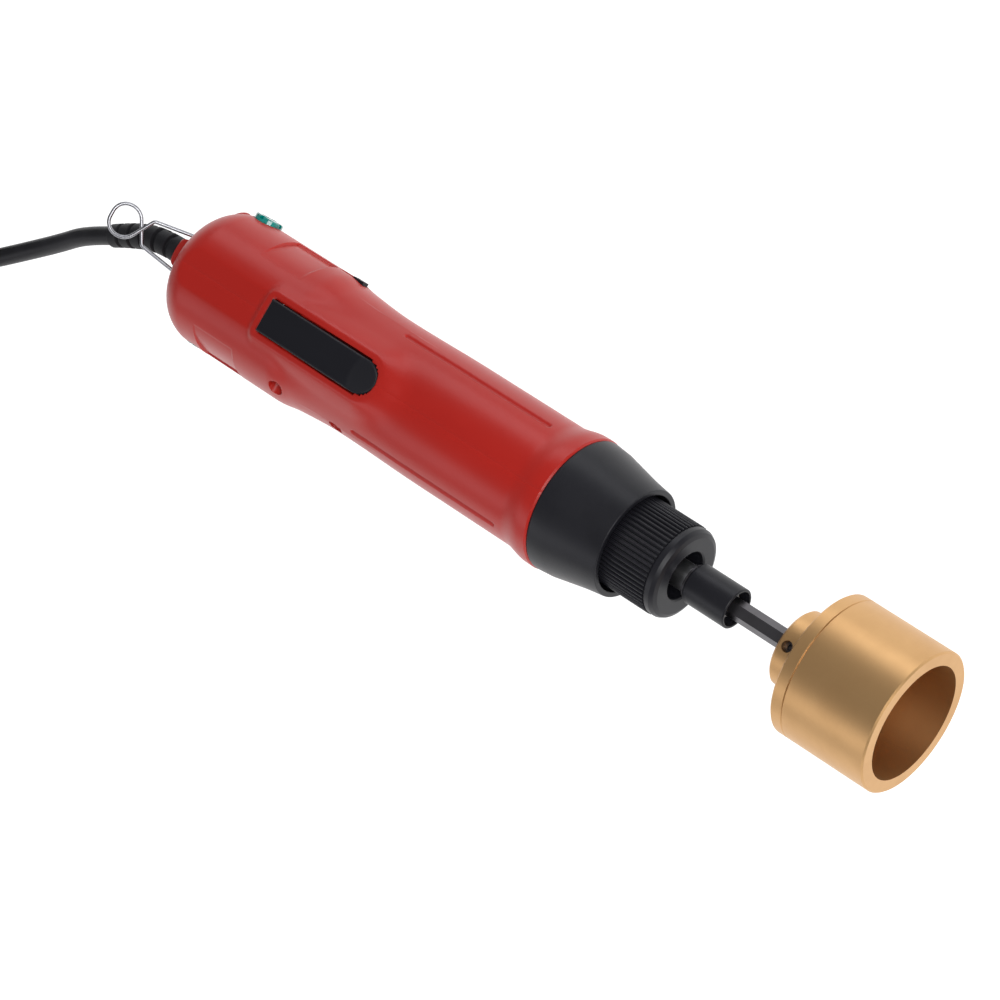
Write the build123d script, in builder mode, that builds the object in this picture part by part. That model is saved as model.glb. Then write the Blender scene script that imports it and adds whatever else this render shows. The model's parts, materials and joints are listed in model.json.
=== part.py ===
from build123d import *
from math import acos, cos, pi, radians, sin, sqrt, tan
import os

# Hand-held electric capping machine. X is the drive axis and points out of the capping cup,
# whose mouth is at x = 0. Z points from the axis to the trigger. All sizes are millimetres.

os.makedirs("parts", exist_ok=True)

# ------------------------------------------------------------------ driving sizes
CUP_DIAMETER = 52.0          # capping cup
CUP_BORE = 42.1
CUP_LENGTH = 38.1
CUP_DEPTH = 30.0
CUP_BAND = 4.7               # plain band behind the cup's turned line
HUB_DIAMETER = 27.4
HUB_LENGTH = 11.2
GRUB_RADIUS = 2.0
SHANK_FLATS = 6.35           # quarter-inch hexagon drive
DETENT_GROOVE = 2.7          # radius at the bottom of the shank's groove
DETENT_RADIUS = 1.1
SHANK_EXPOSED = 24.7
SHANK_INSERTED = 29.3        # from the sleeve's mouth to the end of the shank
SLEEVE_WALL = 2.4
SLEEVE_LENGTH = 18.0
SLEEVE_EXPOSED = 22.2        # sleeve and spindle in front of the torque ring
SPINDLE_DIAMETER = 10.0
RING_DIAMETER = 34.0         # knurled torque ring
RING_EXPOSED = 22.2
RING_LENGTH = 27.8
RING_MOUTH = 18.0
RING_LAND = 10.8             # from the ring's face to the end of its narrow bore
RING_TRAVEL = 3.0
FLUTES = 56
CONE_FRONT_DIAMETER = 40.6   # nose cone
CONE_SHOULDER_DIAMETER = 48.2
CONE_BACK_DIAMETER = 49.5
CONE_LENGTH = 27.1
CONE_WALL = 2.0
SPIGOT_LENGTH = 12.5
HANDLE_LENGTH = 180.5        # clamshell handle, without its tail block
COLLAR_DIAMETER = 50.0
GRIP_DIAMETER = 46.8
WAIST_DIAMETER = 46.0
SWELL_DIAMETER = 51.0
TAIL_RADIUS = 14.0           # rounding of the tail
WALL = 2.5
BLOCK_WIDTH = 12.0           # tail block that holds the cord and the bail
BLOCK_HEIGHT = 11.0
BLOCK_LENGTH = 10.4
TRIGGER_LENGTH = 52.2
TRIGGER_WIDTH = 12.5
TRIGGER_PROUD = 1.5          # height over the swell of the handle
TRIGGER_THICKNESS = 4.5
TRIGGER_TO_TAIL = 51.4       # from the trigger's square end to the end of the tail
CAP_DIAMETER = 10.8          # screw caps over the brushes
CAP_PROUD = 1.6              # left cap
CAP_SUNK = 0.3               # right cap
KNOB_PROUD = 0.3
BRUSH_TO_TAIL = 16.0
HOLDER_RADIUS = 5.3          # brush holders
MOTOR_DIAMETER = 37.0
MOTOR_LENGTH = 32.5
SHAFT_DIAMETER = 5.0
BEARING_DIAMETER = 14.0
BEARING_WIDTH = 5.0
SPINDLE_BEARING_DIAMETER = 19.0
GEAR_MODULE = 0.7
SUN_TEETH = 12
PLANET_TEETH = 18
RING_TEETH = SUN_TEETH + 2 * PLANET_TEETH
PRESSURE_ANGLE = 25.0
GEAR_WIDTH = 9.0
BACKLASH = 0.08              # taken off each tooth
CORD_DIAMETER = 7.0
RELIEF_DIAMETER = 9.5
WIRE_DIAMETER = 1.4          # hanging bail
BAIL_ANGLE = 32.0

# clearances
RUNNING = 0.04               # radial, shaft in bearing
SLIDING = 0.05               # radial, sleeve on spindle and hexagon in socket
SEAT = 0.05                  # radial, fixed part in its pocket
SLOT_GAP = 0.35              # around the trigger
BAIL_PLAY = 0.14             # radial, bail wire in its pivot

# ------------------------------------------------------------------ stations along the axis
hub_back = -(CUP_LENGTH + HUB_LENGTH)
sleeve_front = hub_back - SHANK_EXPOSED
shank_back = sleeve_front - SHANK_INSERTED
spindle_front = sleeve_front - 3.0
ring_front = sleeve_front - SLEEVE_EXPOSED
ring_back = ring_front - RING_LENGTH
cone_front = ring_front - RING_EXPOSED
handle_front = cone_front - CONE_LENGTH
handle_back = handle_front - HANDLE_LENGTH
block_back = handle_back - BLOCK_LENGTH
grip_front = handle_front - 11.5
flange_front = handle_front - 51.0
flange_back = flange_front - 3.5
gear_front = flange_back - 9.8
gear_back = gear_front - GEAR_WIDTH
plate_front = gear_back - 1.2
plate_back = plate_front - 5.7
brush_x = handle_back + BRUSH_TO_TAIL
bell_back = handle_back + 4.5
can_back = handle_back + 25.0
can_front = can_back + MOTOR_LENGTH
trigger_back = handle_back + TRIGGER_TO_TAIL
trigger_front = trigger_back + TRIGGER_LENGTH
pivot_x = trigger_back + 3.0
swell_radius = SWELL_DIAMETER / 2
trigger_top = swell_radius + TRIGGER_PROUD
trigger_bottom = trigger_top - TRIGGER_THICKNESS
pivot_z = trigger_bottom + 0.7
bail_x = block_back + 2.9

# ------------------------------------------------------------------ derived radii
case_radius = WAIST_DIAMETER / 2 - WALL + 0.1      # gear case parts, held by the handle
tube_outer = SPINDLE_BEARING_DIAMETER / 2 + 1.7
tube_bore = SPINDLE_BEARING_DIAMETER / 2 - 0.8
ring_bore = tube_outer + SLIDING
motor_radius = MOTOR_DIAMETER / 2
shaft_radius = SHAFT_DIAMETER / 2
spindle_radius = SPINDLE_DIAMETER / 2
bearing_radius = BEARING_DIAMETER / 2
spigot_radius = GRIP_DIAMETER / 2 - 2.2
table_z = -CUP_DIAMETER / 2


def turn(points, mode=Mode.ADD):
    """A solid turned about the drive axis from (x, radius) points."""
    with BuildSketch(Plane.XZ) as outline:
        with BuildLine():
            Polyline(*points, close=True)
        make_face()
    revolve(outline.sketch, axis=Axis.X, mode=mode)


def rod(front, back, radius, mode=Mode.ADD, y=0.0, z=0.0):
    """A round bar parallel to the drive axis."""
    with BuildSketch(Plane.YZ.offset(back)) as outline:
        with Locations((y, z)):
            Circle(radius)
    extrude(outline.sketch, amount=front - back, mode=mode)


def bar(front, back, sides, height, mode=Mode.ADD):
    """A rectangular block between two stations, two y values and two z values."""
    centre = ((front + back) / 2, (sides[0] + sides[1]) / 2, (height[0] + height[1]) / 2)
    with Locations(centre):
        Box(front - back, sides[1] - sides[0], height[1] - height[0], mode=mode)


def cross_rod(x, z, start, end, radius, mode=Mode.ADD):
    """A round bar parallel to Y."""
    with BuildSketch(Plane(origin=(x, start, z), x_dir=(1, 0, 0), z_dir=(0, 1, 0))) as outline:
        Circle(radius)
    extrude(outline.sketch, amount=end - start, mode=mode)


def spring(start, direction, height, radius, wire, pitch):
    """A round-wire compression spring that starts at a point and grows along a direction."""
    with BuildLine() as coil:
        Helix(pitch=pitch, height=height, radius=radius, center=start, direction=direction)
    with BuildSketch(Plane(origin=coil.line @ 0, z_dir=coil.line % 0)) as section:
        Circle(wire)
    sweep(section.sketch, path=coil.line, is_frenet=True)


def finish(part, name):
    part.label = name
    export_step(part, f"parts/{name}.step")


# ------------------------------------------------------------------ capping head
with BuildPart() as cup:
    rim = CUP_DIAMETER / 2
    turn([(0, CUP_BORE / 2), (0, rim - 0.6), (-0.6, rim),
          (CUP_BAND - CUP_LENGTH + 0.3, rim), (CUP_BAND - CUP_LENGTH, rim - 0.35),
          (CUP_BAND - CUP_LENGTH - 0.3, rim), (0.5 - CUP_LENGTH, rim), (-CUP_LENGTH, rim - 0.5),
          (-CUP_LENGTH, HUB_DIAMETER / 2), (hub_back + 0.8, HUB_DIAMETER / 2),
          (hub_back, HUB_DIAMETER / 2 - 0.8), (hub_back, 0), (-CUP_DEPTH, 0),
          (-CUP_DEPTH, CUP_BORE / 2)])
    with BuildSketch(Plane.YZ.offset(hub_back)) as drive_hole:
        RegularPolygon(SHANK_FLATS / 2, 6, major_radius=False)
    extrude(drive_hole.sketch, amount=HUB_LENGTH + 2, mode=Mode.SUBTRACT)
    grub_x = hub_back + 3.8
    with BuildSketch(Plane.XY.offset(-HUB_DIAMETER / 2)) as grub_hole:
        with Locations((grub_x, 0)):
            Circle(GRUB_RADIUS)
    extrude(grub_hole.sketch, amount=HUB_DIAMETER, mode=Mode.SUBTRACT)
finish(cup.part, "capping_cup")

grub_top = HUB_DIAMETER / 2 - 2.6
with BuildPart() as grub_screws:
    for side in (-1, 1):
        with BuildSketch(Plane.XY.offset(side * SHANK_FLATS / 2)) as screw:
            with Locations((grub_x, 0)):
                Circle(GRUB_RADIUS)
        extrude(screw.sketch, amount=side * (grub_top - SHANK_FLATS / 2))
        with BuildSketch(Plane.XY.offset(side * (grub_top - 1.6))) as key:
            with Locations((grub_x, 0)):
                RegularPolygon(1.0, 6, major_radius=False)
        extrude(key.sketch, amount=side * 1.6, mode=Mode.SUBTRACT)
finish(grub_screws.part, "grub_screws")

detent_x = sleeve_front - 16.5
with BuildPart() as shank:
    with BuildSketch(Plane.YZ.offset(shank_back)) as hexagon:
        RegularPolygon(SHANK_FLATS / 2, 6, major_radius=False)
    extrude(hexagon.sketch, amount=hub_back + HUB_LENGTH + 2 - shank_back)
    turn([(detent_x + 1.6, DETENT_GROOVE), (detent_x + 1.6, SHANK_FLATS), (detent_x - 1.6, SHANK_FLATS),
          (detent_x - 1.6, DETENT_GROOVE)], Mode.SUBTRACT)
finish(shank.part, "hex_shank")

# ------------------------------------------------------------------ spindle and quick-release chuck
drive_radius = spindle_radius - 1.0
clip_seat = spindle_radius - 0.5
clip_rim = spindle_radius + 1.2
boss_front = flange_front + 2.0
with BuildPart() as spindle:
    turn([(spindle_front, 0), (spindle_front, spindle_radius - 0.4),
          (spindle_front - 0.4, spindle_radius), (boss_front, spindle_radius),
          (boss_front, drive_radius), (boss_front - 9, drive_radius), (boss_front - 9, 0)])
    with BuildSketch(Plane.YZ.offset(shank_back - 1)) as socket:
        RegularPolygon(SHANK_FLATS / 2 + SLIDING, 6, major_radius=False)
    extrude(socket.sketch, amount=spindle_front - shank_back + 1, mode=Mode.SUBTRACT)
    for clip_x in (spindle_front - 1.2, sleeve_front - SLEEVE_LENGTH - 0.3):
        turn([(clip_x, clip_seat), (clip_x, clip_rim), (clip_x - 0.8, clip_rim),
              (clip_x - 0.8, clip_seat)], Mode.SUBTRACT)
    with BuildSketch(Plane.XY.offset(SHANK_FLATS / 2)) as ball_hole:
        with Locations((detent_x, 0)):
            Circle(DETENT_RADIUS)
    extrude(ball_hole.sketch, amount=spindle_radius, mode=Mode.SUBTRACT)
finish(spindle.part, "output_spindle")

with BuildPart() as clips:
    for clip_x in (spindle_front - 1.2, sleeve_front - SLEEVE_LENGTH - 0.3):
        turn([(clip_x, clip_seat), (clip_x, clip_rim), (clip_x - 0.8, clip_rim),
              (clip_x - 0.8, clip_seat)])
        bar(clip_x + 0.1, clip_x - 0.9, (-2, 2), (-clip_rim - 1, 1 - clip_seat), Mode.SUBTRACT)
finish(clips.part, "retaining_clips")

with BuildPart() as detent_ball:
    with Locations((detent_x, 0, DETENT_GROOVE + DETENT_RADIUS + SLIDING)):
        Sphere(DETENT_RADIUS)
finish(detent_ball.part, "detent_ball")

sleeve_radius = spindle_radius + SLEEVE_WALL
sleeve_back = sleeve_front - SLEEVE_LENGTH
land_front = sleeve_back + 5.0
sleeve_bore = spindle_radius + SLIDING
with BuildPart() as sleeve:
    turn([(sleeve_front, sleeve_radius - 1.0), (sleeve_front, sleeve_radius - 0.4),
          (sleeve_front - 0.4, sleeve_radius), (sleeve_back + 0.6, sleeve_radius),
          (sleeve_back, sleeve_radius - 0.6), (sleeve_back, sleeve_bore),
          (land_front, sleeve_bore), (land_front, sleeve_radius - 0.9),
          (sleeve_front - 2, sleeve_radius - 0.9)])
finish(sleeve.part, "chuck_sleeve")

spring_front = spindle_front - 2.1
with BuildPart() as sleeve_spring:
    spring((land_front + 0.35, 0, 0), (1, 0, 0), spring_front - land_front - 0.7,
           spindle_radius + 0.75, 0.3, 1.5)
finish(sleeve_spring.part, "sleeve_spring")

# ------------------------------------------------------------------ torque ring
ring_radius = RING_DIAMETER / 2
tube_front = ring_front - RING_LAND - RING_TRAVEL - 0.5
with BuildPart() as torque_ring:
    turn([(ring_front, RING_MOUTH / 2 + 0.4), (ring_front, ring_radius - 2.4),
          (ring_front - 0.5, ring_radius - 1.2), (ring_front - 1.8, ring_radius - 0.5),
          (ring_front - 3.8, ring_radius - 0.5), (ring_front - 4.3, ring_radius),
          (ring_back, ring_radius), (ring_back, ring_bore), (ring_front - RING_LAND, ring_bore),
          (ring_front - RING_LAND, RING_MOUTH / 2), (ring_front - 0.4, RING_MOUTH / 2)])
    with BuildSketch(Plane.YZ.offset(ring_back)) as flutes:
        with PolarLocations(ring_radius + 0.25, FLUTES):
            Circle(0.62)
    extrude(flutes.sketch, amount=RING_LENGTH - 4.6, mode=Mode.SUBTRACT)
finish(torque_ring.part, "torque_ring")

# ------------------------------------------------------------------ clutch
seat_front = ring_back - 0.1
with BuildPart() as spring_seat:
    turn([(seat_front, ring_bore + 0.1), (seat_front, ring_radius), (seat_front - 2.4, ring_radius),
          (seat_front - 2.4, ring_bore + 0.1)])
finish(spring_seat.part, "spring_seat")

with BuildPart() as nose_tube:
    turn([(tube_front, SPINDLE_BEARING_DIAMETER / 2), (tube_front, tube_outer),
          (flange_front, tube_outer), (flange_front, case_radius), (flange_back, case_radius),
          (flange_back, SPINDLE_BEARING_DIAMETER / 2), (boss_front + 1.0, SPINDLE_BEARING_DIAMETER / 2),
          (boss_front + 1.0 + 7, SPINDLE_BEARING_DIAMETER / 2), (boss_front + 1.0 + 7, tube_bore),
          (tube_front - BEARING_WIDTH, tube_bore),
          (tube_front - BEARING_WIDTH, SPINDLE_BEARING_DIAMETER / 2)])
    with BuildSketch(Plane.YZ.offset(flange_back)) as ball_holes:
        with PolarLocations(14.0, 6):
            Circle(2.6)
    extrude(ball_holes.sketch, amount=flange_front - flange_back, mode=Mode.SUBTRACT)
finish(nose_tube.part, "nose_tube")

ball_x = flange_back - 0.1 + 2.5
with BuildPart() as clutch_balls:
    for index in range(6):
        angle = radians(60 * index)
        with Locations((ball_x, 14.0 * cos(angle), 14.0 * sin(angle))):
            Sphere(2.5)
finish(clutch_balls.part, "clutch_balls")

washer_back = ball_x + 2.55
with BuildPart() as clutch_washer:
    turn([(washer_back + 2, tube_outer + 0.2), (washer_back + 2, 17.0), (washer_back, 17.0),
          (washer_back, tube_outer + 0.2)])
finish(clutch_washer.part, "clutch_washer")

clutch_wire = 1.1
with BuildPart() as clutch_spring:
    low = washer_back + 2.1 + clutch_wire
    high = seat_front - 2.5 - clutch_wire
    spring((low, 0, 0), (1, 0, 0), high - low, 13.7, clutch_wire, 6.4)
finish(clutch_spring.part, "clutch_spring")


# ------------------------------------------------------------------ planetary gears
def gear_outline(teeth, tip, root, thinning):
    """Corner points of an involute gear with a tooth centred on the first axis."""
    pitch_radius = GEAR_MODULE * teeth / 2
    base = pitch_radius * cos(radians(PRESSURE_ANGLE))
    half_tooth = pi / (2 * teeth) - thinning / (2 * pitch_radius)
    at_pitch = tan(radians(PRESSURE_ANGLE)) - radians(PRESSURE_ANGLE)
    flank = []
    steps = 4
    for step in range(steps + 1):
        radius = max(root, base) + (tip - max(root, base)) * step / steps
        roll = acos(min(1.0, base / radius))
        flank.append((radius, half_tooth + at_pitch - (tan(roll) - roll)))
    if root < base:
        flank.insert(0, (root, flank[0][1]))
    outline = []
    for tooth in range(teeth):
        middle = 2 * pi * tooth / teeth
        for radius, half in flank:
            outline.append((radius * cos(middle - half), radius * sin(middle - half)))
        for radius, half in reversed(flank):
            outline.append((radius * cos(middle + half), radius * sin(middle + half)))
    return outline


def gear_face(teeth, back, bore, turned=0.0):
    """The back face of an external gear; turned is the angle of its first tooth."""
    pitch_radius = GEAR_MODULE * teeth / 2
    outline = gear_outline(teeth, pitch_radius + 0.9 * GEAR_MODULE,
                           pitch_radius - 1.15 * GEAR_MODULE, BACKLASH)
    with BuildSketch(Plane.YZ.offset(back)) as face:
        with BuildLine():
            Polyline(*outline, close=True)
        make_face()
        Circle(bore, mode=Mode.SUBTRACT)
    return face.sketch.rotate(Axis.X, turned)


planet_orbit = GEAR_MODULE * (SUN_TEETH + PLANET_TEETH) / 2
carrier_front = flange_back - 5.0
carrier_back = gear_front + 0.7
pin_radius = 1.5
ring_pitch = GEAR_MODULE * RING_TEETH / 2

with BuildPart() as sun_gear:
    extrude(gear_face(SUN_TEETH, gear_back, shaft_radius), amount=GEAR_WIDTH)
finish(sun_gear.part, "sun_gear")

for number in range(3):
    angle = radians(120 * number)
    with BuildPart() as planet_gear:
        blank = gear_face(PLANET_TEETH, gear_back, pin_radius + SLIDING, 180 / PLANET_TEETH)
        extrude(blank.moved(Location((0, planet_orbit * cos(angle), planet_orbit * sin(angle)))),
                amount=GEAR_WIDTH)
    finish(planet_gear.part, f"planet_gear_{number + 1}")

with BuildPart() as ring_gear:
    turn([(flange_back - 0.2, 7.5), (flange_back - 0.2, case_radius), (gear_back - 0.8, case_radius),
          (gear_back - 0.8, 0), (gear_front + 0.4, 0), (gear_front + 0.4, 18.2),
          (flange_back - 4.0, 18.2), (flange_back - 4.0, 7.5)])
    hollow = gear_outline(RING_TEETH, ring_pitch + 1.15 * GEAR_MODULE,
                          ring_pitch - 0.9 * GEAR_MODULE, -BACKLASH)
    with BuildSketch(Plane.YZ.offset(gear_back - 0.8)) as teeth_space:
        with BuildLine():
            Polyline(*hollow, close=True)
        make_face()
    turned_space = teeth_space.sketch.rotate(Axis.X, 180 / RING_TEETH)
    extrude(turned_space, amount=GEAR_WIDTH + 1.2, mode=Mode.SUBTRACT)
finish(ring_gear.part, "ring_gear")

with BuildPart() as carrier:
    turn([(boss_front, drive_radius), (boss_front, drive_radius + 2.5),
          (carrier_front, drive_radius + 2.5), (carrier_front, 11.2),
          (carrier_back, 11.2), (carrier_back, 0), (boss_front - 9, 0), (boss_front - 9, drive_radius)])
    for number in range(3):
        angle = radians(120 * number)
        rod(carrier_front, carrier_back, pin_radius, Mode.SUBTRACT,
            planet_orbit * cos(angle), planet_orbit * sin(angle))
finish(carrier.part, "planet_carrier")

with BuildPart() as pins:
    for number in range(3):
        angle = radians(120 * number)
        rod(carrier_front, gear_back - 0.3, pin_radius, Mode.ADD,
            planet_orbit * cos(angle), planet_orbit * sin(angle))
finish(pins.part, "planet_pins")

with BuildPart() as gear_plate:
    turn([(plate_front, shaft_radius + 1), (plate_front, case_radius), (plate_front - 2.5, case_radius),
          (plate_front - 2.5, bearing_radius + 1.5), (plate_back, bearing_radius + 1.5),
          (plate_back, bearing_radius), (plate_back + BEARING_WIDTH, bearing_radius),
          (plate_back + BEARING_WIDTH, shaft_radius + 1)])
finish(gear_plate.part, "gear_plate")


# ------------------------------------------------------------------ bearings
def bearing(front, outer, shaft, width):
    """A shielded ball bearing: two races and the shields recessed between them."""
    back = front - width
    inner = shaft + RUNNING
    low = inner + (outer - inner) * 0.3
    high = outer - (outer - inner) * 0.3
    turn([(front, inner), (front, low), (front - 0.3, low), (front - 0.3, high), (front, high),
          (front, outer), (back, outer), (back, high), (back + 0.3, high), (back + 0.3, low),
          (back, low), (back, inner)])


bell_bearing_front = bell_back + BEARING_WIDTH
nose_bearing_front = can_front + 5.2
with BuildPart() as motor_bearings:
    for front in (plate_back + BEARING_WIDTH, nose_bearing_front, bell_bearing_front):
        bearing(front, bearing_radius, shaft_radius, BEARING_WIDTH)
finish(motor_bearings.part, "motor_bearings")

with BuildPart() as spindle_bearings:
    for front in (tube_front, boss_front + 1.0 + 7):
        bearing(front, SPINDLE_BEARING_DIAMETER / 2, spindle_radius, BEARING_WIDTH)
finish(spindle_bearings.part, "spindle_bearings")

# ------------------------------------------------------------------ motor
armature_radius = motor_radius - 6.7
commutator_radius = 6.0
core_front = can_front - 5.2
core_back = can_back + 5.0
SLOTS = 12
with BuildPart() as motor_can:
    turn([(nose_bearing_front, bearing_radius), (nose_bearing_front, bearing_radius + 1.5),
          (can_front, bearing_radius + 1.5), (can_front, motor_radius), (can_back, motor_radius),
          (can_back, motor_radius - 1.5), (can_front - 1.5, motor_radius - 1.5),
          (can_front - 1.5, bearing_radius - 1), (nose_bearing_front - BEARING_WIDTH, bearing_radius - 1),
          (nose_bearing_front - BEARING_WIDTH, bearing_radius)])
finish(motor_can.part, "motor_can")

with BuildPart() as magnets:
    turn([(core_front, armature_radius + 0.5), (core_front, motor_radius - 1.5),
          (core_back, motor_radius - 1.5), (core_back, armature_radius + 0.5)])
    bar(core_front, core_back, (-motor_radius, motor_radius), (-4, 4), Mode.SUBTRACT)
finish(magnets.part, "motor_magnets")

with BuildPart() as shaft:
    rod(gear_front - 0.2, bell_back + 0.2, shaft_radius)
    chamfer(shaft.faces().sort_by(Axis.X)[0].edges(), 0.4)
finish(shaft.part, "motor_shaft")

with BuildPart() as core:
    turn([(core_front, shaft_radius), (core_front, armature_radius), (core_back, armature_radius),
          (core_back, shaft_radius)])
    with BuildSketch(Plane.YZ.offset(core_back)) as slots:
        with PolarLocations(armature_radius - 2.6, SLOTS):
            SlotOverall(4.0, 2.4)
        with PolarLocations(armature_radius, SLOTS):
            Rectangle(2.0, 0.9)
    extrude(slots.sketch, amount=core_front - core_back, mode=Mode.SUBTRACT)
finish(core.part, "armature_core")

with BuildPart() as windings:
    for front in (core_front + 3.2, core_back):
        turn([(front, shaft_radius + 0.8), (front, armature_radius - 2.0),
              (front - 0.8, armature_radius - 1.0), (front - 3.2, armature_radius - 1.0),
              (front - 3.2, shaft_radius + 0.8)])
finish(windings.part, "armature_windings")

with BuildPart() as commutator:
    turn([(brush_x + 6.5, shaft_radius), (brush_x + 6.5, commutator_radius + 0.8),
          (brush_x + 5.6, commutator_radius + 0.8), (brush_x + 5.6, commutator_radius),
          (brush_x - 5.3, commutator_radius), (brush_x - 5.3, shaft_radius)])
    with BuildSketch(Plane.YZ.offset(brush_x - 5.3)) as cuts:
        with PolarLocations(commutator_radius + 0.6, SLOTS, start_angle=15):
            Rectangle(2.4, 0.4)
    extrude(cuts.sketch, amount=11.8, mode=Mode.SUBTRACT)
finish(commutator.part, "commutator")

fan_front = can_front + 17.5
fan_back = can_front + 9.0
with BuildPart() as fan:
    turn([(fan_front, shaft_radius), (fan_front, 5), (fan_back + 1.2, 5), (fan_back + 1.2, 13.8),
          (fan_back, 13.8), (fan_back, shaft_radius)])
    with BuildSketch(Plane.YZ.offset(fan_back + 1.2)) as blades:
        with PolarLocations(9.2, 9):
            Rectangle(9.0, 1.1, rotation=25)
    extrude(blades.sketch, amount=fan_front - fan_back - 2.4)
finish(fan.part, "cooling_fan")

with BuildPart() as end_bell:
    turn([(can_back, motor_radius), (bell_back + 8, motor_radius), (bell_back, motor_radius - 4.0),
          (bell_back, bearing_radius),
          (bell_bearing_front, bearing_radius), (bell_bearing_front, bearing_radius - 1.5),
          (bell_bearing_front + 1, bearing_radius - 1.5), (bell_bearing_front + 1, motor_radius - 4.5),
          (can_back, motor_radius - 2.0)])
    cross_rod(brush_x, 0, -motor_radius, motor_radius, HOLDER_RADIUS + SEAT, Mode.SUBTRACT)
finish(end_bell.part, "end_bell")

holder_in = commutator_radius + 1.4
holder_out = swell_radius - 4.5
brush_end = holder_in + 7.5
with BuildPart() as brush_holders:
    for side in (-1, 1):
        cross_rod(brush_x, 0, side * holder_in, side * holder_out, HOLDER_RADIUS)
        sides = sorted((side * holder_in, side * brush_end))
        bar(brush_x + 2.65, brush_x - 2.65, sides, (-2.15, 2.15), Mode.SUBTRACT)
        cross_rod(brush_x, 0, side * brush_end, side * holder_out, CAP_DIAMETER / 2 - 1.2, Mode.SUBTRACT)
finish(brush_holders.part, "brush_holders")

with BuildPart() as brushes:
    for side in (-1, 1):
        sides = sorted((side * (commutator_radius + 0.1), side * (brush_end - 0.5)))
        bar(brush_x + 2.5, brush_x - 2.5, sides, (-2.0, 2.0))
finish(brushes.part, "carbon_brushes")

plug_in = holder_out - 3.6
with BuildPart() as brush_springs:
    for side in (-1, 1):
        spring((brush_x, side * (brush_end - 0.25), 0), (0, side, 0), plug_in - brush_end, 1.6, 0.2, 0.9)
finish(brush_springs.part, "brush_springs")

cap_radius = CAP_DIAMETER / 2
for side, name, cap_top in ((1, "brush_cap_left", swell_radius + CAP_PROUD),
                            (-1, "brush_cap_right", swell_radius - CAP_SUNK)):
    with BuildPart() as cap:
        cross_rod(brush_x, 0, side * (holder_out + 0.1), side * cap_top, cap_radius)
        cross_rod(brush_x, 0, side * plug_in, side * (holder_out + 0.1), cap_radius - 1.25)
        chamfer(cap.faces().sort_by(Axis.Y)[-1 if side > 0 else 0].edges(), 0.4)
        slot_sides = sorted((side * (cap_top - 1.3), side * (cap_top + 1)))
        bar(brush_x + 0.7, brush_x - 0.7, slot_sides, (-cap_radius, cap_radius), Mode.SUBTRACT)
        bar(brush_x + cap_radius, brush_x - cap_radius, slot_sides, (-0.7, 0.7), Mode.SUBTRACT)
    finish(cap.part, name)

# ------------------------------------------------------------------ trigger and switches
trigger_half = TRIGGER_WIDTH / 2
with BuildPart() as trigger:
    with BuildSketch(Plane.XY.offset(trigger_bottom)) as plan:
        with BuildLine():
            Polyline((trigger_front - trigger_half, trigger_half), (trigger_back, trigger_half),
                     (trigger_back, -trigger_half), (trigger_front - trigger_half, -trigger_half))
            ThreePointArc((trigger_front - trigger_half, -trigger_half), (trigger_front, 0),
                          (trigger_front - trigger_half, trigger_half))
        make_face()
    extrude(plan.sketch, amount=trigger_top - trigger_bottom)
    with BuildSketch(Plane.XZ.offset(-trigger_half - 1)) as ramp:
        with BuildLine():
            Polyline((trigger_front - 10.5, trigger_top), (trigger_front + 1, trigger_top - 2.4),
                     (trigger_front + 1, trigger_top + 1), (trigger_front - 10.5, trigger_top + 1),
                     close=True)
        make_face()
    extrude(ramp.sketch, amount=TRIGGER_WIDTH + 2, mode=Mode.SUBTRACT)
    cross_rod(pivot_x, pivot_z, -trigger_half, trigger_half, 2.0)
    cross_rod(pivot_x, pivot_z, -trigger_half, trigger_half, 1.0 + SLIDING, Mode.SUBTRACT)
finish(trigger.part, "trigger")

pin_half = trigger_half + 2.0
with BuildPart() as trigger_pin:
    cross_rod(pivot_x, pivot_z, -pin_half, pin_half, 1.0)
finish(trigger_pin.part, "trigger_pin")

switch_front = trigger_front - 3.0
switch_back = switch_front - 13.0
switch_top = trigger_bottom - 4.4
switch_height = 5.9
with BuildPart() as microswitch:
    bar(switch_front, switch_back, (-3.0, 3.0), (switch_top - switch_height, switch_top))
    for x in (switch_front - 3.2, switch_back + 3.2):
        cross_rod(x, switch_top - 4.8, -3.0, 3.0, 1.0, Mode.SUBTRACT)
    rod_x = switch_back + 4.0
    bar(rod_x + 0.8, rod_x - 0.8, (-0.8, 0.8), (switch_top, switch_top + 0.3))
    for x in (switch_front - 2.0, switch_front - 4.5, switch_front - 7.0):
        bar(x + 0.3, x - 0.3, (-1.5, 1.5), (switch_top - switch_height - 3.0, switch_top - switch_height))
finish(microswitch.part, "microswitch")

lever_pivot_x = switch_front - 1.4
lever_pivot_z = switch_top + 0.8
lever_reach = 11.0
with BuildPart() as switch_lever:
    with BuildSketch(Plane.XZ.offset(-1.6)) as leaf:
        with BuildLine():
            rise = trigger_bottom - 0.25 - lever_pivot_z
            Polyline((lever_pivot_x + 0.4, lever_pivot_z - 0.15), (lever_pivot_x + 0.4, lever_pivot_z + 0.15),
                     (lever_pivot_x, lever_pivot_z + 0.2),
                     (lever_pivot_x - lever_reach, lever_pivot_z + rise),
                     (lever_pivot_x - lever_reach, lever_pivot_z + rise - 0.35),
                     (lever_pivot_x, lever_pivot_z - 0.2), close=True)
        make_face()
    extrude(leaf.sketch, amount=3.2)
    cross_rod(lever_pivot_x, lever_pivot_z, -1.6, 1.6, 0.35)
finish(switch_lever.part, "switch_lever")

spring_x = switch_back - 5.5
shelf_top = trigger_bottom - 3.5
with BuildPart() as trigger_spring:
    spring((spring_x, 0, shelf_top + 0.3), (0, 0, 1), trigger_bottom - shelf_top - 0.65, 2.0, 0.25, 0.95)
finish(trigger_spring.part, "trigger_spring")

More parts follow.
